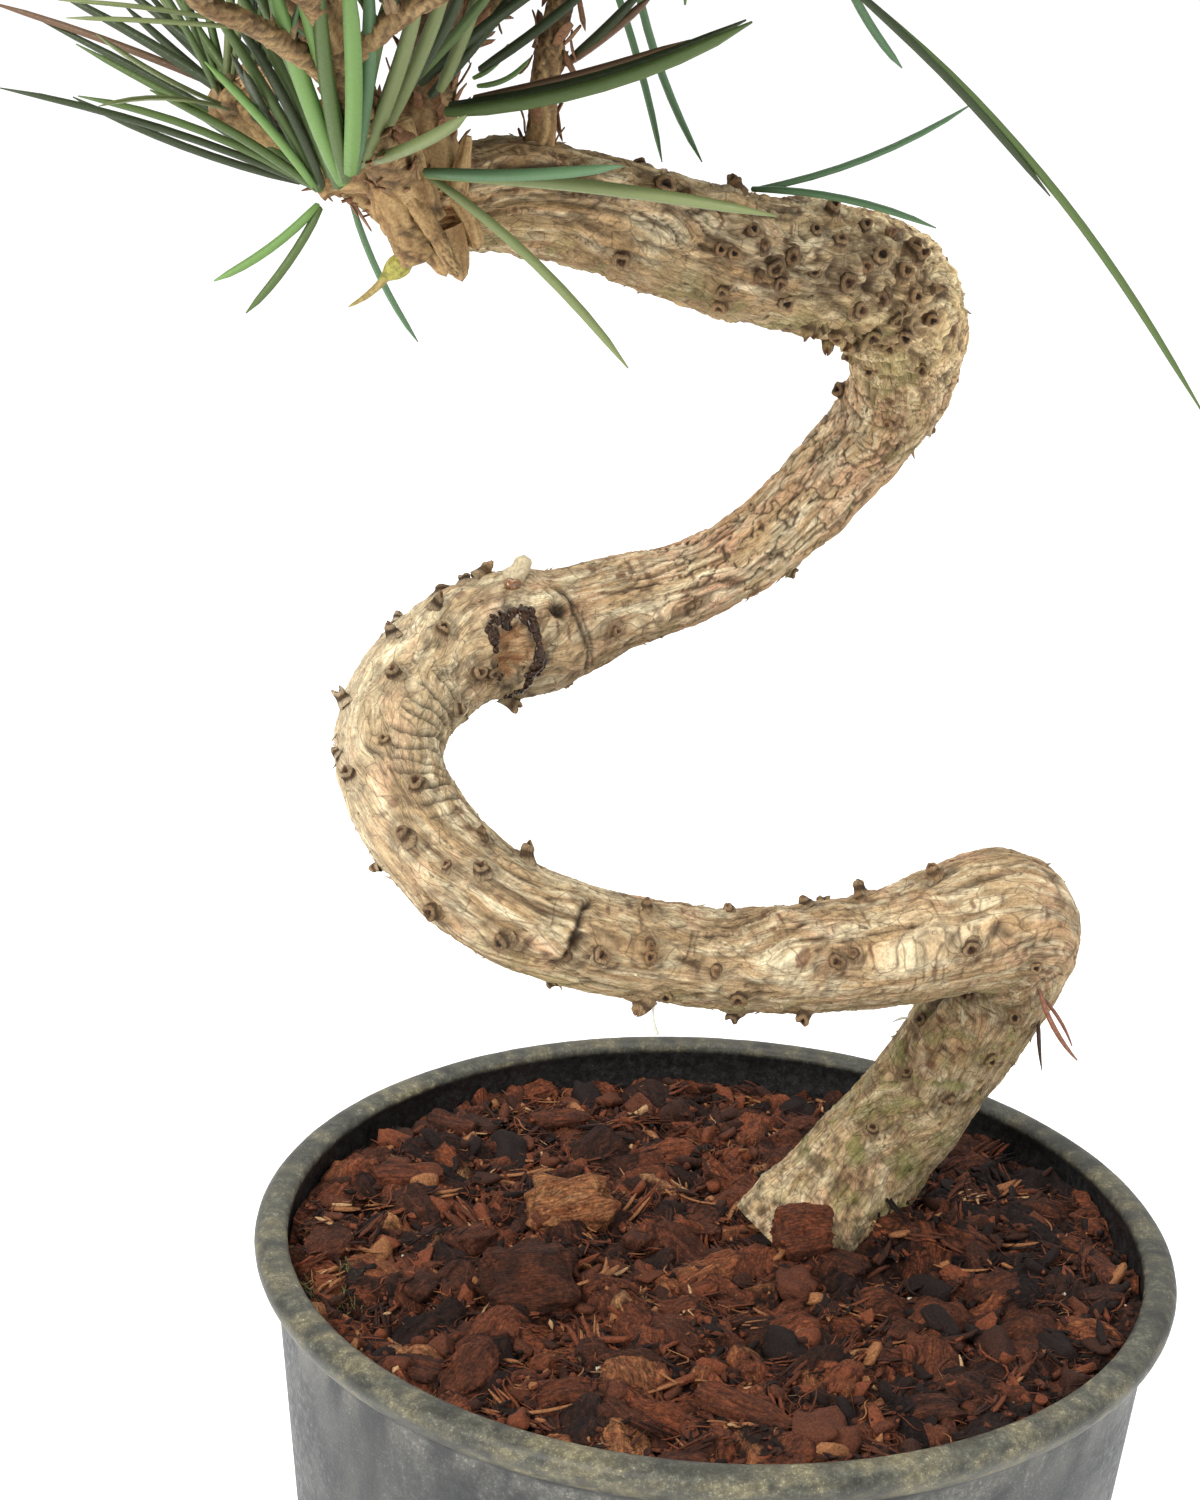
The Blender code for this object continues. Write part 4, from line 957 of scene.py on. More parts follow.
def build_wound(stem):
    """Dark resin round the old wound, an amber drop, a pale stub, and the small dead bits that hang on the stem."""
    heap = Heap()

    def blob(pixel, wide, tall, lift, seed, rings=14, around=20, long=None):
        i, j = on_stem(stem, stem.smooth_points, *pixel)
        at, out, along = stem.points[i, j] + stem.out[i, j] * lift, stem.out[i, j], stem.tangent[i]
        side = np.cross(out, along)
        long = wide * 0.84 if long is None else long
        phi = np.linspace(0.02, np.pi - 0.02, rings)[:, None]
        turn = np.linspace(0, 2 * np.pi, around, endpoint=False)[None]
        grid = at + (along * 1.0) * (np.sin(phi) * np.cos(turn) * wide / 2)[..., None] + side * (np.sin(phi) * np.sin(turn) * long / 2)[..., None] + out * (np.cos(phi) * tall / 2 + 0 * turn)[..., None]
        grid = grid + (grid - at) * (0.22 * vnoise(grid / 0.8, seed))[..., None]
        n = rings * around
        k = np.arange(around)
        caps = np.concatenate([np.stack([np.full(around, n), (k + 1) % around, k], 1)[:, ::-1], np.stack([np.full(around, n + 1), (rings - 1) * around + k, (rings - 1) * around + (k + 1) % around], 1)[:, ::-1]])
        return np.concatenate([grid.reshape(-1, 3), grid[0].mean(0)[None], grid[-1].mean(0)[None]]), grid_faces(rings, around, flip=False), caps

    clots = np.random.default_rng(91)
    # runs of clotted resin: pixels along the run, and how wide it is there
    for pixels, widths in (
        (((499, 618), (508, 614), (519, 612), (528, 616), (533, 626), (537, 640), (536, 654), (533, 668), (524, 682), (512, 690)), (1.0, 1.5, 1.4, 1.7, 1.5, 1.2, 1.4, 1.7, 1.2, 0.8)),
        (((492, 618), (491, 630), (492, 642), (497, 650)), (0.8, 1.5, 1.7, 1.1)), (((505, 622), (512, 628)), (1.3, 0.8)),
        (((522, 610), (530, 608), (531, 618)), (0.7, 0.9, 0.9)), (((540, 650), (543, 664), (538, 676)), (0.6, 0.9, 0.6)),
        (((503, 692), (514, 700), (522, 703)), (1.0, 1.5, 1.1)), (((500, 668), (503, 680)), (0.6, 0.8)),
    ):
        run = np.array(pixels, float)
        passed = np.concatenate([[0.0], np.cumsum(np.hypot(*np.diff(run, axis=0).T))])
        for place in np.arange(0.0, passed[-1] + 0.1, 3.4):
            u, v = (np.interp(place, passed, run[:, k]) + clots.normal(0, 1.6) for k in (0, 1))
            wide = float(np.interp(place, passed, widths)) * clots.uniform(0.7, 1.35)
            heap.add("resin", *blob((u, v), wide, clots.uniform(0.55, 1.05), 0.05, int(320 + place), 9, 12, wide * clots.uniform(0.8, 1.7)))
    look = Look("resin", srgb(30, 22, 15), 0.12, Specular_IOR_Level=0.22, Coat_Weight=0.12, Coat_Roughness=0.05)
    fine = look.noise(1200.0, 3.0, 0.6)
    look.colour(look.ramp(fine, (0.35, srgb(18, 13, 9)), (0.66, srgb(62, 38, 20))))
    look.rough(look.ramp(fine, (0.35, 0.10), (0.7, 0.34)))
    look.bump(fine, 0.5, 0.0002)
    piece("resin", heap.mesh("resin", "resin"), look.material)

    p, q, t = blob((512, 587), 2.9, 1.8, 0.35, 311, long=2.1)
    amber = Look("amber_drop", srgb(150, 92, 48), 0.15, Specular_IOR_Level=0.6, Coat_Weight=0.5, Coat_Roughness=0.08)
    fine = amber.noise(1500.0, 3.0, 0.6)
    amber.colour(amber.ramp(fine, (0.35, srgb(80, 50, 28)), (0.66, srgb(138, 94, 54))))
    amber.bump(fine, 0.4, 0.0002)
    piece("amber_drop", make_mesh("amber_drop", p, [q, t]), amber.material)

    # the pale cut stub on top, a reddish dead strip and a dark spike at the knee, and a white fibre underneath
    rows = Heap()
    i, j = on_stem(stem, stem.smooth_points, 512, 578)
    at = stem.points[i, j]
    t = np.linspace(0, 1, 15)
    tip = pixel_at_y(524, 556, at[1] + 1.2)
    path = at - stem.out[i, j] * 0.8 + np.outer(t, tip - at + stem.out[i, j] * 0.8) + np.outer(0.5 * np.sin(np.pi * t), (1.0, 0.0, 0.0))
    radii = np.interp(t, (0, 0.3, 0.6, 0.8, 0.92, 1.0), (2.3, 1.75, 1.6, 1.6, 1.3, 0.5)) * (1 + 0.05 * vnoise(np.stack([t * 5, 0 * t, 0 * t], -1), 331))
    rows.add("stub", *strands(path[None], radii[None], np.array([0.85]), 20))
    piece("pale_stub", rows.mesh("stub", "pale_stub"), plain_look("pale_stub", srgb(176, 162, 132), 0.85, 0.30, 1600.0, 0.7))

    def hang(key, start, end, radii, flat, bow=0.06, depth_end=None):
        i, j = on_stem(stem, stem.smooth_points, *start)
        a = stem.points[i, j] - stem.out[i, j] * 0.4
        b = pixel_at_y(*end, a[1] if depth_end is None else depth_end)
        t = np.linspace(0, 1, 11)
        along = b - a
        side = unit(np.cross(along, EYE - a))
        path = a + np.outer(t, along) + np.outer(bow * np.linalg.norm(along) * 4 * t * (1 - t), side)
        width = np.interp(t, np.linspace(0, 1, len(radii)), radii) * 1.9
        rows.add(key, *strands(path[None], width[None], np.array([flat]), 8, np.array([0.9])))

    hang("strip", (1040, 992), (1077, 1060), (0.35, 0.55, 0.60, 0.5, 0.18), 0.4)
    hang("strip", (1046, 1000), (1072, 1046), (0.2, 0.35, 0.3, 0.12), 0.5, -0.05)
    hang("spike", (1041, 1022), (1042, 1071), (0.15, 0.32, 0.30, 0.2, 0.06), 0.6, 0.02)
    hang("fibre", (655, 1003), (657, 1034), (0.12, 0.22, 0.12, 0.20, 0.30), 0.6, 0.05)
    hang("fibre", (650, 1004), (642, 1014), (0.10, 0.15, 0.06), 0.6, 0.10)
    hang("fibre", (905, 1015), (893, 1022), (0.12, 0.20, 0.08), 0.6, 0.10)
    piece("dead_strip", rows.mesh("strip", "dead_strip"), plain_look("dead_strip", srgb(128, 84, 62), 0.8, 0.35))
    piece("dead_spike", rows.mesh("spike", "dead_spike"), plain_look("dead_spike", srgb(60, 40, 32), 0.8, 0.35))
    piece("pale_fibres", rows.mesh("fibre", "pale_fibres"), plain_look("pale_fibre", srgb(206, 204, 190), 0.8, 0.15))


# ------------------------------------------------------------------ pot
def build_pot():
    profile_out = [(61.0, 0.0), (60.2, 0.25), (59.75, 0.9), (59.6, 1.8)]
    for k in range(1, 34):
        z = 1.8 + (116.6 - 1.8) * k / 33.0
        profile_out.append((59.6 + (71.3 - 59.6) * z / 117.6, z))
    profile_out[0] = (59.0, 0.0)
    profile_out[1] = (59.35, 0.12)
    rim = [(71.25, 117.3), (71.45, 117.9), (71.9, 118.35), (72.6, 118.9), (73.4, 119.6), (74.05, 120.4), (74.55, 121.2), (74.85, 122.0), (74.96, 122.8),
           (74.80, 123.5), (74.35, 124.15), (73.6, 124.65), (72.6, 124.92), (71.5, 124.95), (70.6, 124.8), (69.95, 124.45), (69.62, 123.9), (69.58, 123.2)]
    inner = []
    for k in range(0, 30):
        z = 122.4 - (122.4 - POT_FLOOR - 1.2) * k / 29.0
        inner.append((59.6 + (71.3 - 59.6) * z / 117.6 - POT_WALL, z))
    inner += [(57.4, POT_FLOOR + 0.4), (56.6, POT_FLOOR)]
    rows = np.array(profile_out + rim + inner)
    around = 320
    turn = np.linspace(0, 2 * np.pi, around, endpoint=False)
    r = rows[:, 0][:, None] + 0 * turn
    z = rows[:, 1][:, None] + 0 * turn
    warp = fbm(np.stack([np.cos(turn) * 2.0, np.sin(turn) * 2.0, 0 * turn], -1), 2, 131)
    nick = fbm(np.stack([np.cos(turn)[None] * 18.0 + 0 * z, np.sin(turn)[None] * 18.0 + 0 * z, z / 2.5], -1), 3, 133)
    on_rim = smooth(116.0, 119.0, z)
    r = r - 0.12 * (0.5 + 0.5 * warp[None]) * smooth(4.0, 12.0, z) - 0.10 * (0.5 + 0.5 * nick) * on_rim
    z = z - 0.10 * (0.5 + 0.5 * nick) * on_rim * (z > 124.0)
    points = np.stack([r * np.cos(turn), r * np.sin(turn), z], -1)
    side_faces = grid_faces(len(rows), around)
    # floor with six drain holes: two flat annuli of one grid each, opened at the holes and joined by their walls
    bm = bmesh.new()
    made = [bm.verts.new(p) for p in (points.reshape(-1, 3) * MM)]
    bm.verts.ensure_lookup_table()
    for quad in side_faces:
        bm.faces.new([made[k] for k in quad])
    holes = [(40.0 * math.cos((i + 0.5) * math.pi / 3), 40.0 * math.sin((i + 0.5) * math.pi / 3)) for i in range(6)]

    def disc(ring, z, up):
        """A flat disc with the six holes, joined to a ring of points; returns the hole rings."""
        edges = [bm.edges.get((ring[k], ring[(k + 1) % around])) for k in range(around)]
        rings = []
        for x, y in holes:
            loop = [bm.verts.new(((x + 5.0 * math.cos(a)) * MM, (y + 5.0 * math.sin(a)) * MM, z * MM)) for a in np.linspace(0, 2 * math.pi, 32, endpoint=False)]
            edges += [bm.edges.new((loop[k], loop[(k + 1) % 32])) for k in range(32)]
            rings.append(loop)
        bmesh.ops.triangle_fill(bm, use_beauty=True, use_dissolve=False, edges=edges, normal=(0, 0, 1.0 if up else -1.0))
        return rings

    low = disc(made[:around], 0.0, False)
    high = disc(made[-around:], POT_FLOOR, True)
    for a, b in zip(low, high):
        for k in range(32):
            n = (k + 1) % 32
            bm.faces.new((a[k], b[k], b[n], a[n]))
    bmesh.ops.recalc_face_normals(bm, faces=bm.faces)
    for face in bm.faces:
        face.smooth = True
    mesh = bpy.data.meshes.new("pot_wall")
    bm.to_mesh(mesh)
    bm.free()
    co = np.empty(len(mesh.vertices) * 3)
    mesh.vertices.foreach_get("co", co)
    co = co.reshape(-1, 3) / MM
    around_r = np.hypot(co[:, 0], co[:, 1])
    turned = np.stack([co[:, 0] / np.maximum(around_r, 1), co[:, 1] / np.maximum(around_r, 1), 0 * around_r], -1)
    dust = fbm(co / 6.0, 3, 135)
    streaks = fbm(np.stack([turned[:, 0] * 40, turned[:, 1] * 40, co[:, 2] / 30.0], -1), 2, 136)
    wall = np.array(srgb(46, 47, 48))
    inner_wall_shaded = np.array(srgb(30, 30, 30))
    on_rim = smooth(117.8, 119.6, co[:, 2])[:, None]
    inside = ((around_r < 71.25 - 1.0 - (117.6 - np.minimum(co[:, 2], 117.6)) * 0.0995) & (co[:, 2] < 123.2))[:, None]
    dusty = smooth(0.0, 0.60, dust + 0.12 * streaks + 0.25 * smooth(70.0, 118.0, co[:, 2]))[:, None]
    rgb = wall * (1 + 0.10 * dust)[:, None] * (1 - 0.28 * dusty) + np.array(srgb(98, 98, 94)) * 0.28 * dusty
    ring = np.stack([turned[:, 0] * 75 / 7.0, turned[:, 1] * 75 / 7.0, co[:, 2] / 3.0], -1)
    mottle = (0.75 * fbm(ring, 4, 138) + 0.55 * fbm(ring * 3.7, 3, 139))[:, None]
    rim_rgb = np.array(srgb(78, 77, 66)) * (1 + 0.25 * dust[:, None])
    olive = smooth(-0.05, 0.40, mottle)
    rim_rgb = rim_rgb * (1 - 0.75 * olive) + np.array(srgb(116, 109, 84)) * 0.75 * olive
    deep = smooth(0.05, 0.40, -mottle)
    rim_rgb = rim_rgb * (1 - 0.70 * deep) + np.array(srgb(46, 46, 42)) * 0.70 * deep
    # painted shade: the back and right of the rim, away from the key light, are painted darker
    rim_rgb = rim_rgb * (1 - 0.42 * smooth(-0.2, 0.9, 0.8 * turned[:, 1] + 0.55 * turned[:, 0])[:, None])
    outer_side = smooth(72.6, 74.6, around_r)[:, None]
    rim_rgb = rim_rgb * (1 - 0.18 * outer_side)
    rgb = rgb * (1 - on_rim) + rim_rgb * on_rim
    # painted shade: a dark line in the crease where the wall meets the underside of the rim
    line = np.exp(-(((co[:, 2] - 118.0) / 0.40) ** 2))[:, None]
    rgb = rgb * (1 - 0.60 * line)
    under_lip = np.exp(-(((co[:, 2] - 115.5) / 2.2) ** 2))[:, None] * smooth(0.0, 0.5, dust[:, None] + 0.3)
    rgb = rgb * (1 - 0.35 * under_lip) + np.array(srgb(128, 126, 114)) * 0.35 * under_lip
    # painted shade: the inside wall is the same plastic in a darker tone
    rgb = np.where(inside, inner_wall_shaded * (1 + 0.25 * dust[:, None]), rgb)
    point_colour(mesh, "tone", rgb)
    look = Look("pot_plastic", rough=0.42, Specular_IOR_Level=0.36)
    tint = look.attribute("tone")
    speck = look.noise(2600.0, 2.0, 0.6)
    grime = look.noise(700.0, 7.0, 0.78)
    scratch = look.noise(1500.0, 2.0, 0.5, stretch=(0.5, 0.5, 1.2), distortion=0.6)
    tone = look.mix(1.0, tint, look.ramp(speck, (0.58, 1.0), (0.70, 2.1)), "MULTIPLY")
    tone = look.mix(1.0, tone, look.ramp(grime, (0.36, 0.58), (0.50, 0.95), (0.62, 1.75)), "MULTIPLY")
    look.colour(tone)
    look.rough(look.ramp(grime, (0.38, 0.34), (0.62, 0.66)))
    look.bump(look.math("ADD", look.math("MULTIPLY", scratch, 0.6), look.math("MULTIPLY", speck, 0.8)), 0.40, 0.00020)
    piece("pot_wall", mesh, look.material, ("pot",))


# ------------------------------------------------------------------ growing medium
MIX_TONES = (
    ("mix_black", srgb(26, 14, 10)), ("mix_dark", srgb(52, 28, 18)), ("mix_brown", srgb(82, 44, 27)),
    ("mix_red", srgb(106, 56, 33)), ("mix_tan", srgb(138, 92, 58)), ("mix_pale", srgb(172, 136, 98)),
)
# heaps and hollows of the mix: x, y, half width, height
MIX_HEAPS = (
    (-50.0, 26.0, 14.0, 2.3), (-63.0, -6.0, 9.0, 3.4), (-10.0, 60.0, 10.0, 0.9), (62.0, -10.0, 10.0, 3.2), (50.0, 32.0, 12.0, 1.0),
    (-22.0, -18.0, 12.0, 2.0), (6.0, -24.0, 9.0, -2.2), (-30.0, -48.0, 10.0, 1.5), (30.0, -46.0, 12.0, 1.4), (4.0, -58.0, 9.0, 1.6),
    (-46.0, -30.0, 9.0, -2.0), (28.0, -8.0, 9.0, -2.0), (44.0, 4.0, 8.0, 1.2), (-6.0, 30.0, 10.0, -1.2), (-28.0, 6.0, 8.0, 1.8), (18.0, 46.0, 9.0, 0.8),
    (46.0, -30.0, 7.0, 1.4), (16.0, -40.0, 6.0, -1.6), (-12.0, -40.0, 6.0, 1.2), (-40.0, 4.0, 6.0, -1.4),
)


def mix_level(x, y):
    """Height of the top of the mix at a place, in millimetres."""
    p = np.stack([x, y, 0 * x], -1)
    level = MEDIUM_LEVEL - 0.3 + MEDIUM_SLOPE * y + 2.3 * fbm(p / 8.5, 2, 141) + 1.0 * vnoise(p / 3.8, 142)
    for at_x, at_y, half, high in MIX_HEAPS:
        level = level + 0.75 * high * np.exp(-(((x - at_x) ** 2 + (y - at_y) ** 2) / half**2))
    away = np.hypot(x - 18.4, y - 17.0)
    level = level + 1.6 * np.exp(-((away / 16.0) ** 2))
    level = level + 4.2 * np.exp(-(((x - 31.5) / 8.0) ** 2) - ((y - 9.5) / 8.0) ** 2) + 2.2 * np.exp(-(((x - 15.0) / 6.0) ** 2) - ((y - 0.5) / 4.0) ** 2)
    return np.minimum(level, 124.2 - 1.2 * smooth(60.0, 69.0, np.hypot(x, y)))


def disc_grid(n, radius):
    """An n x n grid of places laid evenly over a disc."""
    line = np.linspace(-1.0, 1.0, n)
    gx, gy = np.meshgrid(line, line, indexing="ij")
    wide = np.abs(gx) >= np.abs(gy)
    safe_x, safe_y = np.where(gx == 0, 1e-9, gx), np.where(gy == 0, 1e-9, gy)
    turn = np.where(wide, (np.pi / 4) * (gy / safe_x), np.pi / 2 - (np.pi / 4) * (gx / safe_y))
    rad = np.where(wide, gx, gy) * radius
    return rad * np.cos(turn), rad * np.sin(turn)


def chunk_field(x, y, cell, seed, stretch, level, tilt, thick):
    """Piled broken pieces, one to a cell and the highest on top: height, piece number 0..1, place within the piece, and step down to the next one."""
    gx, gy = np.floor(x / cell).astype(np.int64), np.floor(y / cell).astype(np.int64)
    best, below = np.full(x.shape, -99.0), np.full(x.shape, -99.0)
    name, along, over = np.zeros(x.shape), np.zeros(x.shape), np.zeros(x.shape)
    for dx in (-2, -1, 0, 1, 2):
        for dy in (-2, -1, 0, 1, 2):
            ix, iy = gx + dx, gy + dy
            pick = [hashed(ix, iy, 0 * ix + k, seed) for k in range(8)]
            ox, oy = x - (ix + pick[0]) * cell, y - (iy + pick[1]) * cell
            turn = 2 * np.pi * pick[2]
            a, b = np.cos(turn) * ox + np.sin(turn) * oy, -np.sin(turn) * ox + np.cos(turn) * oy
            long = stretch[0] + (stretch[1] - stretch[0]) * pick[3]
            half_a, half_b = 0.66 * cell * long, 0.66 * cell / long**0.6
            # a many-cornered outline
            q = np.maximum(np.abs(a / half_a) + 0.35 * np.abs(b / half_b), np.abs(b / half_b) + 0.25 * np.abs(a / half_a))
            q = 0.6 * q + 0.4 * np.sqrt((a / half_a) ** 2 + (b / half_b) ** 2)
            high = level * (2 * pick[4] - 1) + tilt * ((2 * pick[5] - 1) * a + (2 * pick[6] - 1) * b) + thick * (0.6 - np.maximum(q, 0.35) ** 3.2)
            wins = high > best
            below = np.where(wins, best, np.maximum(below, high))
            name, along, over = np.where(wins, pick[7], name), np.where(wins, a, along), np.where(wins, b, over)
            best = np.maximum(best, high)
    return best, name, along, over, best - below


def build_mix_bed():
    """The body of the mix: a closed solid whose top is a heap of broken, fibrous pieces of bark in three sizes."""
    n = 296
    x, y = disc_grid(n, 69.35)
    p = np.stack([x, y, 0 * x], -1)
    wx, wy = x + 0.9 * fbm(p / 2.2, 3, 151), y + 0.9 * fbm(p / 2.2, 3, 152)
    fields = (
        chunk_field(wx, wy, 10.0, 161, (1.0, 1.7), 1.7, 0.26, 3.4),
        chunk_field(wx, wy, 5.0, 171, (1.0, 2.1), 1.5, 0.32, 2.2),
        chunk_field(wx, wy, 2.3, 181, (1.1, 2.8), 0.9, 0.30, 1.1),
    )
    high = np.stack([fields[0][0] - 0.7, fields[1][0] - 0.35, fields[2][0] - 0.25])
    which = high.argmax(0)
    pick = lambda k: np.take_along_axis(np.stack([f[k] for f in fields]), which[None], 0)[0]
    field, name, along, over = high.max(0), pick(1), pick(2), pick(3)
    apart = np.minimum(pick(4), field - np.sort(high, 0)[1])
    local = np.stack([along / 4.0, over / 0.55, name * 40.0], -1)
    fibre = fbm(local, 3, 191)
    frayed = 1 - np.abs(fbm(np.stack([along / 5.0, over / 1.1, name * 40.0], -1), 2, 192)) * 2.4
    relief = field + 0.26 * fibre + 0.30 * (frayed - 0.4) + 0.22 * fbm(p / 0.9, 2, 193)
    away = np.hypot(x, y)
    z = mix_level(x, y) - 0.8 + 1.10 * relief
    z = np.minimum(z, 124.3 - 0.5 * smooth(64.0, 69.0, away))
    # tints: each piece has its own and frayed edges are lighter; painted shade darkens the low hollows and the gaps
    # between pieces
    tones = np.array([tone for _, tone in MIX_TONES])
    # painted shade: tones step darker towards the right of the pot, which lies in the trunk's shadow
    ladder = np.interp(name, (0.0, 0.16, 0.42, 0.74, 0.93, 1.0), (0.2, 1.0, 1.9, 2.7, 3.4, 4.3)) - 0.75 * smooth(0.0, 42.0, x)
    step = np.clip(ladder + 0.55 * fibre + 0.35 * fbm(p / 5.0, 2, 194), 0.0, 5.0)
    low = np.clip(step.astype(int), 0, 4)
    rgb = tones[low] * (1 - (step - low))[..., None] + tones[low + 1] * (step - low)[..., None]
    # painted shade: darker where the heap sinks and where one piece steps down to the next
    hollow = 1 - smooth(-1.1, 1.3, relief)
    gap = 1 - smooth(0.05, 0.55, apart)
    rgb = rgb * (1 - 0.70 * hollow[..., None]) * (1 - 0.45 * gap[..., None]) * (0.80 + 0.40 * smooth(0.1, 0.9, frayed)[..., None])
    top = np.stack([x, y, z], -1)
    lift = np.stack([along, over, name * 60.0 + which * 7.0], -1)
    # the rim of the square grid runs once round the disc
    k = np.arange(n - 1)
    edge = np.concatenate([k * n, (n - 1) * n + k, (n - 1 - k) * n + (n - 1), (n - 1) - k])
    ring = top.reshape(-1, 3)[edge]
    turn = np.arctan2(ring[:, 1], ring[:, 0])
    r_low = 59.6 + (71.3 - 59.6) * 96.0 / 117.6 - POT_WALL - 0.45
    wall = np.stack([r_low * np.cos(turn), r_low * np.sin(turn), np.full(len(turn), 96.0)], -1)
    foot = np.stack([56.6 * np.cos(turn), 56.6 * np.sin(turn), np.full(len(turn), POT_FLOOR + 0.8)], -1)
    m, first = len(edge), n * n
    j = np.arange(m)
    nxt = (j + 1) % m
    quads = np.concatenate([
        grid_faces(n, n, closed=False),
        np.stack([edge[j], edge[nxt], first + nxt, first + j], 1)[:, ::-1],
        np.stack([first + j, first + nxt, first + m + nxt, first + m + j], 1)[:, ::-1],
    ])
    base = np.stack([np.full(m, first + 2 * m), first + m + j, first + m + nxt], 1)[:, ::-1]
    points = np.concatenate([top.reshape(-1, 3), wall, foot, [[0.0, 0.0, POT_FLOOR + 0.8]]])
    mesh = make_mesh("mix_bed", points, [quads, base])
    below = np.concatenate([wall, foot, points[-1:]])
    point_colour(mesh, "tone", np.concatenate([rgb.reshape(-1, 3), np.tile(tones[0], (len(below), 1))]))
    point_vector(mesh, "along", np.concatenate([lift.reshape(-1, 3), below]))
    piece("mix_bed", mesh, fibrous_look("mix_bed"), ("growing_medium",))


def fibrous_look(name):
    """Broken bark: tints kept on the mesh, with fibres that run along each piece."""
    look = Look(name, rough=0.88, Specular_IOR_Level=0.25)
    fibre = look.noise(1.0, 5.0, 0.65, stretch=(0.45, 3.4, 1.0), along="along")
    crumb = look.noise(1500.0, 5.0, 0.7)
    colour = look.mix(1.0, look.attribute("tone"), look.ramp(fibre, (0.34, (0.42, 0.40, 0.38)), (0.50, (1.0, 1.0, 1.0)), (0.66, (1.75, 1.70, 1.60))), "MULTIPLY")
    look.colour(look.mix(1.0, colour, look.ramp(crumb, (0.34, 0.50), (0.50, 1.0), (0.66, 1.55)), "MULTIPLY"))
    look.rough(look.ramp(crumb, (0.3, 0.95), (0.7, 0.72)))
    look.bump(look.math("ADD", look.math("MULTIPLY", fibre, 1.0), look.math("MULTIPLY", crumb, 0.8)), 0.95, 0.0006)
    return look.material


def prism_chips(centres, normals, headings, long, wide, thick, corners, rng, bend=0.0):
    """Flat many-cornered chips with rough outlines: a top and a bottom fan and a wall each."""
    n = len(centres)
    turn = np.linspace(0, 2 * np.pi, corners, endpoint=False)
    side = unit(headings - normals * (headings * normals).sum(-1, keepdims=True))
    other = np.cross(normals, side)
    rad = 1 + 0.30 * rng.uniform(-1, 1, (n, corners))
    a = long[:, None] / 2 * rad * np.cos(turn) * (1 + 0.15 * np.abs(np.cos(turn)))
    b = wide[:, None] / 2 * rad * np.sin(turn)
    lift = bend * (a / np.maximum(long[:, None] / 2, 0.1)) ** 2 * long[:, None] * rng.uniform(-0.4, 1.0, (n, 1))
    relief = 0.18 * rng.uniform(-1, 1, (n, corners)) * thick[:, None]
    rings = []
    for height, shrink in ((0.5, 0.86), (0.18, 1.0), (-0.5, 0.92)):
        rings.append(
            centres[:, None]
            + side[:, None] * (a * shrink)[..., None]
            + other[:, None] * (b * shrink)[..., None]
            + normals[:, None] * (height * thick[:, None] + relief * (height > 0) + lift)[..., None]
        )
    top = centres + normals * (thick * (0.5 + 0.25 * rng.uniform(-1, 1, n)))[:, None]
    low = centres - normals * (thick * 0.5)[:, None]
    points = np.concatenate(rings + [top[:, None], low[:, None]], 1)
    j = np.arange(corners)
    nxt = (j + 1) % corners
    quads = np.concatenate([np.stack([j, nxt, corners + nxt, corners + j], 1), np.stack([corners + j, corners + nxt, 2 * corners + nxt, 2 * corners + j], 1)])
    tris = np.concatenate([np.stack([np.full(corners, 3 * corners), nxt, j], 1), np.stack([np.full(corners, 3 * corners + 1), 2 * corners + j, 2 * corners + nxt], 1)])
    step = 3 * corners + 2
    at = (np.arange(n) * step)[:, None, None]
    return points.reshape(-1, 3), (quads[None, :, ::-1] + at).reshape(-1, 4), (tris[None, :, ::-1] + at).reshape(-1, 3)


def strands(paths, radii, flat, around=5, twist=None):
    """Tubes along given paths (n x k x 3) with given radii (n x k); flat is the ratio of thickness to width."""
    n, k = paths.shape[:2]
    tangent = unit(np.gradient(paths, axis=1))
    a, b = across(tangent)
    for step in range(1, k):
        prev = a[:, step - 1]
        t = tangent[:, step]
        prev = unit(prev - t * (prev * t).sum(-1, keepdims=True))
        a[:, step] = prev
        b[:, step] = np.cross(t, prev)
    turn = np.linspace(0, 2 * np.pi, around, endpoint=False)
    spin = 0.0 if twist is None else twist[:, None, None]
    ring = (
        paths[:, :, None]
        + a[:, :, None] * (radii[..., None] * np.cos(turn + spin))[..., None]
        + b[:, :, None] * (radii[..., None] * np.sin(turn + spin) * flat[:, None, None])[..., None]
    )
    points = np.concatenate([ring.reshape(n, -1, 3), (paths[:, :1] - tangent[:, :1] * radii[:, :1, None] * 0.5), (paths[:, -1:] + tangent[:, -1:] * radii[:, -1:, None] * 0.5)], 1)
    quads = grid_faces(k, around)
    j = np.arange(around)
    nxt = (j + 1) % around
    tris = np.concatenate([np.stack([np.full(around, k * around), nxt, j], 1), np.stack([np.full(around, k * around + 1), (k - 1) * around + j, (k - 1) * around + nxt], 1)])
    at = (np.arange(n) * (k * around + 2))[:, None, None]
    return points.reshape(-1, 3), (quads[None] + at).reshape(-1, 4), (tris[None] + at).reshape(-1, 3)


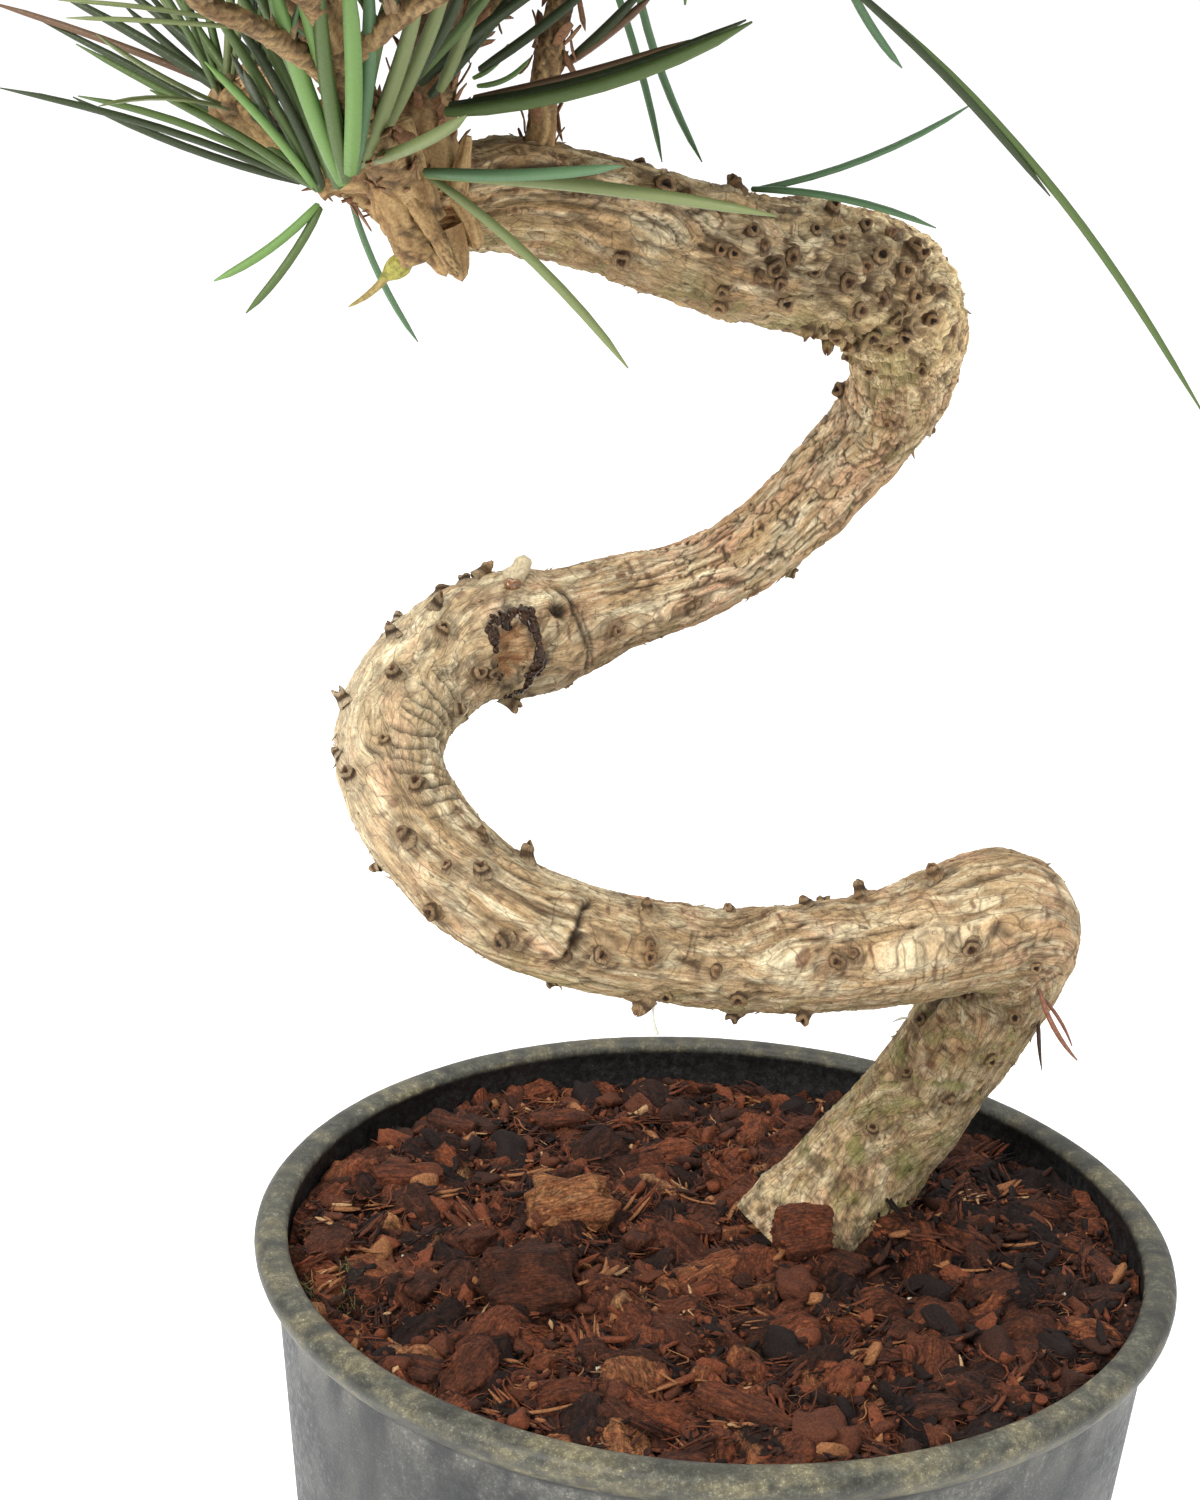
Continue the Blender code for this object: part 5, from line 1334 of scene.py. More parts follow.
def rough_chunks(centres, normals, headings, long, wide, thick, seed, rings=9, around=14):
    """Rounded broken lumps of bark, with ridges along their length."""
    n = len(centres)
    side = unit(headings - normals * (headings * normals).sum(-1, keepdims=True))
    other = np.cross(normals, side)
    phi = np.linspace(0.10, np.pi - 0.10, rings)[None, :, None]
    turn = np.linspace(0, 2 * np.pi, around, endpoint=False)[None, None, :]

    def rounded(value, power=0.62):
        return np.sign(value) * np.abs(value) ** power

    x = rounded(np.sin(phi)) * rounded(np.cos(turn))
    y = rounded(np.sin(phi)) * rounded(np.sin(turn))
    z = rounded(np.cos(phi)) + 0 * turn
    lx, ly, lz = (v[:, None, None] for v in (long / 2, wide / 2, thick / 2))
    local = np.stack([x * lx, y * ly, z * lz], -1)
    shift = (np.arange(n) * 7.31)[:, None, None, None]
    ridges = 0.35 - np.abs(fbm(np.stack([local[..., 0] / 6.0, local[..., 1] / 1.8, local[..., 2] / 1.8], -1) + shift, 2, seed)) * 2.0
    lumps = fbm(local / 3.4 + shift, 2, seed + 1)
    steps = np.round(2.5 * fbm(local / 4.0 + shift + 5.0, 1, seed + 2)) / 2.5
    grow = 1 + 0.22 * ridges + 0.26 * lumps + 0.14 * steps
    local = local * grow[..., None]
    grid = centres[:, None, None] + side[:, None, None] * local[..., :1] + other[:, None, None] * local[..., 1:2] + normals[:, None, None] * local[..., 2:]
    points = np.concatenate([grid.reshape(n, -1, 3), grid[:, 0].mean(1)[:, None], grid[:, -1].mean(1)[:, None]], 1)
    k = np.arange(around)
    nxt = (k + 1) % around
    caps = np.concatenate([np.stack([np.full(around, rings * around), k, nxt], 1), np.stack([np.full(around, rings * around + 1), (rings - 1) * around + nxt, (rings - 1) * around + k], 1)])
    at = (np.arange(n) * points.shape[1])[:, None, None]
    return points.reshape(-1, 3), (grid_faces(rings, around, flip=True)[None] + at).reshape(-1, 4), (caps[None] + at).reshape(-1, 3)


class Heap:
    """Collects points and faces under a name until they're joined into one mesh."""

    def __init__(self):
        self.parts = {}

    def add(self, key, points, quads, tris):
        rows = self.parts.setdefault(key, [[], [], [], 0])
        rows[0].append(points)
        rows[1].append(quads + rows[3])
        rows[2].append(tris + rows[3])
        rows[3] += len(points)

    def mesh(self, key, name, shade=True):
        points, quads, tris, _ = self.parts[key]
        return make_mesh(name, np.concatenate(points), [np.concatenate(quads), np.concatenate(tris)], shade)


def keep_in_pot(centres, reach, limit=68.9):
    r = np.hypot(centres[:, 0], centres[:, 1])
    most = np.maximum(limit - reach, 1.0)
    share = np.minimum(1.0, most / np.maximum(r, 0.1))
    out = centres.copy()
    out[:, :2] *= share[:, None]
    return out


def build_mix_top():
    rng = np.random.default_rng(415)
    heap = Heap()

    def scatter(count, spread=1.0):
        r = 69.0 * np.sqrt(rng.uniform(0, 1, count)) * spread
        a = rng.uniform(0, 2 * np.pi, count)
        return r * np.cos(a), r * np.sin(a)

    def random_heading(count):
        a = rng.uniform(0, 2 * np.pi, count)
        return np.stack([np.cos(a), np.sin(a), 0 * a], -1)

    def darker(tone, x):
        """The right of the pot lies in deeper shade, with more of the dark pieces."""
        return np.maximum(tone - (rng.uniform(0, 1, len(tone)) < 0.80 * smooth(-5.0, 40.0, x)), 0)

    def lay(count, long, wide, thick, corners, tilt, rise, weights, bend=0.0):
        x, y = scatter(count)
        tone = darker(rng.choice(len(MIX_TONES), count, p=np.array(weights) / sum(weights)), x)
        length, width = rng.uniform(*long, count), rng.uniform(*wide, count)
        width = np.minimum(width, length)
        depth = rng.uniform(*thick, count)
        centre = keep_in_pot(np.stack([x, y, 0 * x], -1), 0.52 * length * 1.3)
        x, y = centre[:, 0], centre[:, 1]
        centre[:, 2] = mix_level(x, y) + rng.uniform(*rise, count)
        normal = unit(np.stack([rng.normal(0, tilt, count), rng.normal(0, tilt, count), np.ones(count)], -1))
        heading = random_heading(count)
        for k, (key, _) in enumerate(MIX_TONES):
            on = tone == k
            if on.any() and corners == 0:
                heap.add(key, *rough_chunks(centre[on], normal[on], heading[on], length[on], width[on], depth[on], 400 + k, 13, 20))
            elif on.any():
                heap.add(key, *prism_chips(centre[on], normal[on], heading[on], length[on], width[on], depth[on], corners, rng, bend))

    #    number  length      width       thickness   corners tilt  height      shares of the six tones
    lay(16, (8.0, 12.0), (5.0, 8.0), (3.5, 6.0), 0, 0.45, (-1.2, 0.6), (3, 4, 5, 3, 0.5, 0.0))
    lay(90, (4.0, 8.0), (2.6, 5.0), (2.0, 3.8), 0, 0.65, (-0.8, 0.9), (3, 4, 5, 3, 0.8, 0.1))
    lay(520, (2.6, 6.5), (1.2, 3.2), (0.5, 1.4), 8, 0.75, (-0.6, 1.4), (3, 4, 5, 4, 1.2, 0.15), 0.05)
    lay(1500, (1.3, 3.2), (0.6, 1.6), (0.3, 0.8), 7, 0.75, (-0.7, 1.2), (3, 4, 5, 4, 1.4, 0.2), 0.06)
    lay(2400, (0.6, 1.6), (0.4, 1.0), (0.25, 0.6), 6, 0.9, (-0.6, 1.3), (4, 4, 4, 3, 1.2, 0.35), 0.0)

    def bundles(count, strips, long, weights):
        """Shredded bark: strips that lie side by side, slightly fanned, with ends that don't meet."""
        x, y = scatter(count)
        tone = darker(rng.choice(len(MIX_TONES), count, p=np.array(weights) / sum(weights)), x)
        length = rng.uniform(*long, count)
        centre = keep_in_pot(np.stack([x, y, 0 * x], -1), 0.62 * length)
        heading = random_heading(count)
        lean = rng.normal(0, 0.34, count)
        level = mix_level(centre[:, 0], centre[:, 1]) + rng.uniform(-0.4, 0.8, count) + 0.25 * np.abs(lean) * length
        side = np.stack([-heading[:, 1], heading[:, 0], 0 * level], -1)
        curl = rng.normal(0, 0.05, count)
        t = np.linspace(-0.5, 0.5, 6)
        for k in range(strips):
            place = (k - (strips - 1) / 2) * rng.uniform(0.22, 0.60, count)
            fan = rng.normal(0, 0.10, count) + 0.02 * (k - strips / 2)
            slide, part = rng.normal(0, 0.40, count) * length, rng.uniform(0.30, 1.0, count)
            path = (
                np.stack([centre[:, 0], centre[:, 1], level - 0.10 * place**2 + rng.normal(0, 0.30, count)], -1)[:, None]
                + heading[:, None] * ((length * part)[:, None] * t + slide[:, None] * 0.4)[..., None]
                + side[:, None] * (place[:, None] + (length * fan)[:, None] * t + (length * curl)[:, None] * (4 * t**2 - 0.5))[..., None]
            )
            path[..., 2] += (length * lean * part)[:, None] * t + rng.normal(0, 0.07, (count, 6))
            radii = rng.uniform(0.16, 0.50, count)[:, None] * (1 - 0.6 * np.abs(2 * t) ** 4) * rng.uniform(0.8, 1.2, (count, 6))
            flat = rng.uniform(0.35, 0.7, count)
            shade = np.clip(tone + rng.choice((-1, 0, 0, 1), count), 0, 5)
            for which, (key, _) in enumerate(MIX_TONES):
                on = shade == which
                if on.any():
                    heap.add(key, *strands(path[on], radii[on], flat[on], 4, rng.uniform(0, 6.28, count)[on]))

    bundles(210, 8, (4.0, 9.0), (2, 4, 5, 4, 1.0, 0.1))
    bundles(60, 11, (7.0, 12.0), (2, 4, 5, 3, 0.8, 0.1))
    bundles(260, 4, (2.5, 5.5), (2, 4, 5, 4, 1.6, 0.3))

    def fibres(count, long, wide, rise, steep, weights, curl):
        x, y = scatter(count)
        length = rng.uniform(*long, count)
        centre = keep_in_pot(np.stack([x, y, 0 * x], -1), 0.55 * length)
        level = mix_level(centre[:, 0], centre[:, 1]) + rng.uniform(*rise, count)
        heading = random_heading(count)
        up = rng.normal(0, steep, count)
        k = 7
        t = np.linspace(-0.5, 0.5, k)
        side = np.stack([-heading[:, 1], heading[:, 0], 0 * level], -1)
        bow, wave = rng.normal(0, curl, count), rng.normal(0, curl * 0.4, count)
        path = (
            np.stack([centre[:, 0], centre[:, 1], level], -1)[:, None]
            + heading[:, None] * (length[:, None] * t)[..., None]
            + side[:, None] * (length[:, None] * (bow[:, None] * (t**2 * 2) + wave[:, None] * np.sin(6 * t)))[..., None]
        )
        path[..., 2] += length[:, None] * up[:, None] * t + rng.uniform(-0.15, 0.25, (count, 1)) * length[:, None] * (0.25 - t**2)
        radii = rng.uniform(*wide, count)[:, None] * (1 - 0.55 * np.abs(t * 2) ** 3)
        flat = rng.uniform(0.25, 0.7, count)
        tone = darker(rng.choice(len(MIX_TONES), count, p=np.array(weights) / sum(weights)), centre[:, 0])
        for which, (key, _) in enumerate(MIX_TONES):
            on = tone == which
            if on.any():
                heap.add(key, *strands(path[on], radii[on], flat[on], 4, rng.uniform(0, 6.28, count)[on]))

    fibres(2700, (1.6, 5.0), (0.06, 0.17), (-0.2, 1.5), 0.40, (1.5, 4, 5, 5, 1.6, 0.35), 0.45)
    fibres(650, (4.0, 9.0), (0.10, 0.30), (-0.2, 1.3), 0.20, (2, 4, 5, 4, 1.6, 0.3), 0.30)
    fibres(90, (7.0, 13.0), (0.35, 0.75), (-0.2, 1.2), 0.12, (2, 4, 5, 3, 1, 0.1), 0.18)

    # the pieces that stand out in the photograph: pixel, length, width, thickness, heading in degrees, tone, lean
    heroes = (
        (528, 1292, 15.0, 13.5, 9.5, 10, 1.4, -0.62), (572, 1216, 15.0, 9.5, 8.0, 18, 3.7, -0.50), (803, 1248, 10.5, 9.5, 8.5, 20, 2.3, -0.55), (870, 1222, 8.0, 6.0, 4.0, 60, 1.6, -0.3), (470, 1240, 11.0, 6.5, 4.5, 55, 1.8, 0.2),
        (752, 1432, 15.5, 5.2, 3.6, -28, 2.2, -0.1), (1068, 1231, 9.5, 4.6, 2.4, -12, 2.0, 0.0), (682, 1143, 10.0, 3.6, 2.2, -8, 3.2, 0.0),
        (640, 1238, 9.0, 5.2, 2.2, 75, 1.7, 0.2), (760, 1322, 9.5, 6.5, 3.2, 15, 1.1, -0.2), (905, 1330, 8.0, 5.0, 3.0, 60, 1.7, 0.1),
        (388, 1392, 9.5, 6.0, 3.0, -20, 1.2, -0.2), (468, 1380, 11.0, 7.5, 4.5, 65, 1.9, -0.3), (930, 1420, 11.0, 5.5, 3.2, 10, 1.2, -0.1),
        (1020, 1350, 8.5, 5.5, 3.0, -35, 1.9, 0.1), (700, 1225, 7.0, 4.4, 2.4, 5, 1.8, 0.0), (420, 1290, 7.0, 5.0, 3.0, 60, 1.1, 0.0),
        (615, 1425, 10.5, 5.0, 2.8, -50, 1.8, -0.1), (845, 1385, 9.0, 4.0, 2.2, 70, 2.8, 0.0), (1105, 1300, 8.0, 5.0, 3.0, 30, 1.0, 0.0),
        (410, 1180, 12.0, 5.0, 3.0, 10, 2.2, -0.2), (450, 1125, 9.0, 5.0, 3.5, -20, 1.3, 0.0), (560, 1110, 10.0, 5.0, 3.0, 20, 2.0, 0.0), (1000, 1290, 10.0, 6.0, 4.0, 40, 1.5, -0.2),
        (840, 1260, 9.0, 6.0, 3.5, -30, 1.6, 0.0), (560, 1400, 9.0, 6.0, 3.5, 20, 2.1, -0.2), (300, 1250, 9.0, 6.0, 3.5, 70, 1.6, 0.0), (1140, 1270, 8.0, 5.0, 3.0, -60, 1.8, 0.0),
    )
    rings, around = 26, 40
    lumps, tints, lines = Heap(), [], []
    for number, (u, v, long, wide, thick, turn, step, lean) in enumerate(heroes):
        x, y, _ = pixel_at_z(u, v, 120.5)
        centre = keep_in_pot(np.array([[x, y, 0.0]]), np.array([0.55 * long * 1.2]))
        centre[:, 2] = mix_level(centre[:, 0], centre[:, 1]) + min(2.2, 0.26 * thick)
        a = math.radians(turn)
        lying, ahead = unit(np.array([[0.06, lean, 1.0]])), np.array([[math.cos(a), math.sin(a), 0.0]])
        points, quads, tris = rough_chunks(centre, lying, ahead, np.array([long]), np.array([wide]), np.array([thick]), 440 + number, rings, around)
        points[:, 2] = np.minimum(points[:, 2], 127.5 - 3.0 * smooth(52.0, 66.0, np.hypot(points[:, 0], points[:, 1])))
        lumps.add("lump", points, quads, tris)
        side = np.cross(lying[0], ahead[0])
        own = points - centre[0]
        local = np.stack([own @ ahead[0], own @ side, own @ lying[0] + 9.0 * number], -1)
        fibre = fbm(np.stack([local[:, 0] / 4.0, local[:, 1] / 0.8, local[:, 2] / 0.8], -1), 3, 195)
        level = np.clip(step + 0.8 * fibre + 0.7 * fbm(own / 3.0, 2, 196 + number), 0.0, 4.99)
        low = level.astype(int)
        tones = np.array([tone for _, tone in MIX_TONES])
        tints.append(tones[low] * (1 - (level - low))[:, None] + tones[low + 1] * (level - low)[:, None])
        lines.append(local)
    mesh = lumps.mesh("lump", "mix_lumps")
    point_colour(mesh, "tone", np.concatenate(tints))
    point_vector(mesh, "along", np.concatenate(lines))
    piece("mix_lumps", mesh, fibrous_look("mix_lumps"))
    slivers = (
        (335, 1196, 8.5, 0.9, -22, "mix_tan"), (318, 1192, 7.0, 0.6, -25, "mix_pale"), (655, 1140, 14.0, 0.5, -6, "mix_tan"), (600, 1280, 8.5, 0.8, 35, "mix_tan"), (612, 1272, 7.0, 0.5, 32, "mix_pale"),
        (590, 1292, 9.0, 0.45, 40, "mix_tan"), (735, 1285, 6.0, 0.6, -20, "mix_pale"), (450, 1452, 9.0, 0.6, -15, "mix_tan"), (365, 1250, 6.0, 0.5, -35, "mix_tan"), (1060, 1330, 8.0, 0.5, 30, "mix_tan"),
        (425, 1172, 6.5, 0.45, 60, "mix_pale"), (600, 1282, 11.0, 0.35, 68, "mix_tan"), (520, 1167, 9.0, 0.45, 12, "mix_tan"), (470, 1215, 8.0, 0.35, -60, "mix_pale"),
        (700, 1190, 9.0, 0.30, -30, "mix_tan"), (850, 1300, 10.0, 0.35, 25, "mix_red"), (960, 1270, 9.0, 0.40, -15, "mix_tan"), (560, 1350, 12.0, 0.40, 20, "mix_red"),
        (690, 1300, 9.0, 0.30, 80, "mix_pale"), (400, 1330, 9.0, 0.40, -45, "mix_tan"), (1010, 1240, 9.5, 0.5, -5, "mix_tan"), (880, 1400, 11.0, 0.45, 42, "mix_red"),
        (1130, 1262, 8.0, 0.55, 15, "mix_tan"), (660, 1380, 9.0, 0.35, -70, "mix_tan"), (960, 1380, 10.0, 0.30, 75, "mix_pale"), (500, 1452, 12.0, 0.45, 5, "mix_tan"),
    )
    t = np.linspace(-0.5, 0.5, 11)
    for u, v, long, wide, turn, key in slivers:
        x, y, _ = pixel_at_z(u, v, 121.0)
        centre = keep_in_pot(np.array([[x, y, 0.0]]), np.array([0.55 * long]))[0]
        a = math.radians(turn)
        path = centre + np.outer(t * long, (math.cos(a), math.sin(a), 0.0)) + np.outer(long * 0.12 * t**2 * 4, (-math.sin(a), math.cos(a), 0.0))
        path[:, 2] = mix_level(np.array([centre[0]]), np.array([centre[1]]))[0] + 1.1 + 0.10 * long * t
        heap.add(key, *strands(path[None], (wide * (1 - 0.6 * np.abs(2 * t) ** 3))[None], np.array([0.5]), 6))

    for key, tone in MIX_TONES:
        mesh = heap.mesh(key, key, shade=False)
        piece(key, mesh, plain_look(key, tone, 0.86, 0.38, 2600.0, 0.9, Specular_IOR_Level=0.28))

    # white grains and a tuft of moss at the left of the rim
    grains = 34
    x, y = scatter(grains)
    size = rng.uniform(0.3, 0.9, grains) ** 1.3
    centre = keep_in_pot(np.stack([x, y, 0 * x], -1), size)
    centre[:, 2] = mix_level(centre[:, 0], centre[:, 1]) + rng.uniform(0.2, 1.0, grains)
    normal = unit(rng.normal(0, 1, (grains, 3)) + np.array([0, 0, 1.5]))
    points, quads, tris = prism_chips(centre, normal, random_heading(grains), size, size * 0.9, size * 0.8, 7, rng)
    piece("mineral_grains", make_mesh("mineral_grains", points, [quads, tris], False), plain_look("mineral_grain", srgb(184, 172, 150), 0.8, 0.2))

    tufts = ((330, 1292, 150, 3.6), (352, 1268, 60, 2.2), (872, 1200, 50, 3.0), (905, 1190, 40, 2.5))
    moss = []
    for u, v, count, spread in tufts:
        x, y, _ = pixel_at_z(u, v, 120.8)
        for _ in range(count):
            dx, dy = rng.normal(0, spread / 2, 2)
            moss.append((x + dx, y + dy))
    moss = np.array(moss)
    moss = keep_in_pot(np.concatenate([moss, 0 * moss[:, :1]], 1), np.full(len(moss), 1.6))
    moss[:, 2] = mix_level(moss[:, 0], moss[:, 1]) + 0.3
    lean = unit(rng.normal(0, 0.55, (len(moss), 3)) + np.array([0, 0, 1.0]))
    t = np.linspace(0, 1, 5)
    high = rng.uniform(0.8, 2.0, len(moss))
    path = moss[:, None] + lean[:, None] * (high[:, None] * t)[..., None] + rng.normal(0, 0.25, (len(moss), 1, 3)) * (t**2)[None, :, None]
    radii = 0.22 * (1 - 0.75 * t)[None] * np.ones((len(moss), 1))
    points, quads, tris = strands(path, radii, np.full(len(moss), 0.5), 4)
    piece("moss", make_mesh("moss", points, [quads, tris], False), plain_look("moss", srgb(104, 104, 62), 0.85, 0.45))


# ------------------------------------------------------------------ boughs and twigs
# bough: bend number it leaves the stem at, direction, mass it feeds, and base radius
BOUGHS = {
    "shoot_left": (24.0, (-0.96, -0.12, 0.30), "needles_left", 3.3),
    "shoot_leader": (24.0, (0.04, 0.06, 1.0), "needles_leader", 4.2),
    "shoot_front": (24.0, (-0.28, -0.86, 0.52), "needles_front", 3.2),
    "shoot_back_left": (24.0, (-0.62, 0.66, 0.58), "needles_back_left", 2.9),
    "shoot_back": (24.0, (0.42, 0.72, 0.55), "needles_back", 2.2),
    "shoot_standing": (22.75, (-0.04, -0.12, 1.0), "needles_right", 2.2),
    "shoot_front_right": (22.75, (0.52, -0.66, 0.54), "needles_front_right", 1.8),
}
# a bough that leaves another one, and how far along that one
FORKS = {"shoot_back": ("shoot_leader", 0.30), "shoot_front_right": ("shoot_standing", 0.46)}
# boughs that stop short of their mass's middle, and the share of their way that they go
SHORT_BOUGHS = {"shoot_left": 0.46}
NEEDLE_TONES = (
    ("needle_deep", srgb(52, 62, 38)), ("needle_green", srgb(78, 96, 52)), ("needle_bright", srgb(104, 136, 74)),
    ("needle_blue", srgb(82, 112, 78)), ("needle_olive", srgb(112, 122, 78)), ("needle_brown", srgb(98, 74, 54)),
)
FILL_LIMIT = ((np.array(CAD_BOX[0]) / MM - 2.0), (np.array(CAD_BOX[1]) / MM + 2.0))


def bough_route(start, toward, goal, count=60):
    span = np.linalg.norm(goal - start)
    middle = start + toward * span * 0.5
    u = np.linspace(0, 1, count)[:, None]
    return (1 - u) ** 2 * start + 2 * u * (1 - u) * middle + u * u * goal


def resample(path, step):
    length = np.concatenate([[0.0], np.cumsum(np.linalg.norm(np.diff(path, axis=0), axis=1))])
    s = np.linspace(0.0, length[-1], max(4, int(length[-1] / step) + 1))
    return np.stack([np.interp(s, length, path[:, k]) for k in range(3)], 1), s


def scaly_bough(path, base, tip, seed, around=26, step=0.42, flare=0.35):
    """A limb covered in the spiral of raised leaf bases that a young pine shoot has; returns points, faces and colours."""
    path, s = resample(path, step)
    wander = fbm(np.stack([s / 9.0, 0 * s, 0 * s + seed], -1), 2, seed)
    tangent, side, other = carried_frames(path)
    path = path + side * (0.5 * wander * smooth(2, 10, s))[:, None]
    turn = np.linspace(0, 2 * np.pi, around, endpoint=False)
    length = s[-1]
    r = base + (tip - base) * (s / length)
    r = r * (1 + flare * np.exp(-s / 3.5))
    end = smooth(length - 1.2, length, s)
    r = r * np.sqrt(np.clip(1 - end**2 * 0.96, 0.02, 1))
    S, T = s[:, None] + 0 * turn, turn[None] + 0 * s[:, None]
    u = 5 * T / (2 * np.pi) + S / 4.3
    v = 8 * T / (2 * np.pi) - S / 2.6
    fu, fv = np.abs(u - np.floor(u) - 0.5) * 2, np.abs(v - np.floor(v) - 0.5) * 2
    groove = smooth(0.70, 0.98, np.maximum(fu, fv))
    rise = (v - np.floor(v)) * 0.5 + (u - np.floor(u)) * 0.3
    ring = side[:, None] * np.cos(T)[..., None] + other[:, None] * np.sin(T)[..., None]
    rough = path[:, None] + ring * r[:, None, None]
    grain = fbm(rough / 1.6, 3, seed + 3)
    streak = fbm(np.stack([np.cos(T) * 2.6, np.sin(T) * 2.6, S / 7.0], -1), 3, seed + 5)
    young = smooth(3.0, 14.0, S)
    h = young * (0.42 * rise - 0.50 * groove) + (1 - young) * 0.7 * streak + 0.28 * grain
    keep = smooth(0, 0.6, S)
    points = path[:, None] + ring * np.maximum(r[:, None] + h * keep * np.minimum(1.0, r[:, None] / 2.0), 0.15)[..., None]
    pale, warm, deep = np.array(srgb(174, 144, 98)), np.array(srgb(130, 98, 60)), np.array(srgb(48, 35, 24))
    tone = smooth(-0.4, 0.5, streak + 0.4 * grain)[..., None]
    rgb = warm * (1 - tone) + pale * tone
    dark = np.clip(young * groove * 0.85 + 0.6 * smooth(0.15, 0.5, -grain) + 0.5 * young * (1 - rise), 0, 1)[..., None]
    rgb = rgb * (1 - 0.75 * dark) + deep * 0.75 * dark
    n = len(path) * around
    j = np.arange(around)
    nxt = (j + 1) % around
    faces = grid_faces(len(path), around, flip=True)
    caps = np.concatenate([np.stack([np.full(around, n), nxt, j], 1), np.stack([np.full(around, n + 1), (len(path) - 1) * around + j, (len(path) - 1) * around + nxt], 1)])
    flat = np.concatenate([points.reshape(-1, 3), path[:1], path[-1:] + tangent[-1:] * 0.15])
    colours = np.concatenate([rgb.reshape(-1, 3), rgb[0].mean(0)[None], rgb[-1].mean(0)[None]])
    return flat, faces, caps, colours


def joined_bough(name, parts, replaces=()):
    points, quads, tris, colours, count = [], [], [], [], 0
    for p, q, t, c in parts:
        points.append(p)
        quads.append(q + count)
        tris.append(t + count)
        colours.append(c)
        count += len(p)
    mesh = make_mesh(name, np.concatenate(points), [np.concatenate(quads), np.concatenate(tris)])
    point_colour(mesh, "bark", np.concatenate(colours))
    piece(name, mesh, SHOOT_LOOK, replaces)


def shoot_look():
    look = Look("shoot_bark", rough=0.75, Specular_IOR_Level=0.35)
    tint = look.attribute("bark")
    fine = look.noise(2800.0, 3.0, 0.6)
    look.colour(look.mix(1.0, tint, look.ramp(fine, (0.32, 0.72), (0.68, 1.22)), "MULTIPLY"))
    look.rough(look.ramp(fine, (0.3, 0.85), (0.7, 0.62)))
    look.bump(fine, 0.5, 0.0002)
    return look.material


# ------------------------------------------------------------------ needles
class Needles:
    """Needles gathered by the mass that they stand for, and by tone."""

    def __init__(self):
        self.rows = {}

    def add(self, mass, tone, paths, width):
        self.rows.setdefault(mass, []).append((tone, paths, width))

    def build(self):
        looks = []
        for key, tone in NEEDLE_TONES:
            look = Look(key, tone, 0.50, Specular_IOR_Level=0.32)
            lines = look.noise(2400.0, 2.0, 0.5)
            look.rough(look.ramp(lines, (0.35, 0.40), (0.65, 0.62)))
            look.bump(lines, 0.35, 0.00012)
            looks.append(look.material)
        turn_flat = 0.58
        shape = np.array((0.72, 0.95, 1.0, 1.0, 1.0, 0.98, 0.92, 0.74, 0.16))
        for mass, rows in self.rows.items():
            points, quads, tris, kinds, tri_kinds, count = [], [], [], [], [], 0
            for tone, paths, width in rows:
                n, k = paths.shape[:2]
                radii = np.interp(np.linspace(0, 1, k), np.linspace(0, 1, len(shape)), shape)[None] * (width[:, None] / 2)
                p, q, t = strands(paths, radii, np.full(n, 0.92 if mass == "seen" else turn_flat), 6 if mass == "seen" else 4, RNG.uniform(0, 6.28, n))
                points.append(p)
                quads.append(q + count)
                tris.append(t + count)
                kinds.append(np.full(len(q), tone))
                tri_kinds.append(np.full(len(t), tone))
                count += len(p)
            name = mass if mass in MASSES else mass
            mesh = make_mesh("leaf_" + name, np.concatenate(points), [np.concatenate(quads), np.concatenate(tris)])
            mesh.polygons.foreach_set("material_index", np.concatenate(kinds + tri_kinds).astype(np.int32))
            piece("leaf_" + name, mesh, looks, (mass,) if mass in MASSES else ())


def needle_paths(bases, directions, lengths, droop, bow, k=9):
    """Gently bowed paths; bow is a sideways share of the length, droop a downward one."""
    t = np.linspace(0, 1, k)
    a, b = across(directions)
    spin = RNG.uniform(0, 2 * np.pi, len(bases))
    side = a * np.cos(spin)[:, None] + b * np.sin(spin)[:, None]
    path = bases[:, None] + directions[:, None] * (lengths[:, None] * t)[..., None] + side[:, None] * ((bow * lengths)[:, None] * t**2)[..., None]
    path[..., 2] -= (droop * lengths)[:, None] * t**2
    return path


def held_in(points, mass, grow):
    """How far out of a mass's rounded box of room points lie: under 1 is inside."""
    centre, half = np.array(MASSES[mass][0]), np.array(MASSES[mass][1]) * grow
    return (((points - centre) / half) ** 2).sum(-1)


def fitted_lengths(bases, directions, wanted, mass, grow):
    """The longest length up to the wanted one that ends inside the mass's room."""
    centre, half = np.array(MASSES[mass][0]), np.array(MASSES[mass][1])[None] * grow[:, None]
    o, d = (bases - centre) / half, directions / half
    a, b, c = (d * d).sum(-1), (o * d).sum(-1), (o * o).sum(-1) - 1
    root = np.sqrt(np.maximum(b * b - a * c, 0.0))
    out = np.where(b * b - a * c > 0, (-b + root) / a, 0.0)
    return np.minimum(wanted, out)


TWIGS = []
SHEATHS = Heap()
BUDS = Heap()
SCALES = Heap()


def against_sky(bases, directions, lengths):
    """True for needles that would cross the part of the frame where the photograph shows sky."""
    t = np.linspace(0, 1, 9)
    places = bases[:, None] + directions[:, None] * (lengths[:, None] * t)[..., None]
    pixels = to_pixel(places.reshape(-1, 3)).reshape(len(bases), 9, 2)
    u, v = pixels[..., 0], pixels[..., 1]
    shown = (u > -12) & (u < 1212) & (v > -12)
    dense = (u > 258) & (u < 470) & (v < 150 - 0.30 * np.abs(u - 350))
    sparse = (u <= 320) & (v < 0.42 * u + 75) & (RNG.uniform(0, 1, len(bases)) < 0.10)[:, None]
    # those that do show there spread from the whorl, as in the photograph
    course, spread = pixels[:, -1] - pixels[:, 0], pixels[:, 4] - np.array([348.0, 190.0])
    stray = shown.any(1) & ((unit(course) * unit(spread)).sum(-1) < 0.72)
    return (shown & ~dense & ~sparse).any(1) | stray


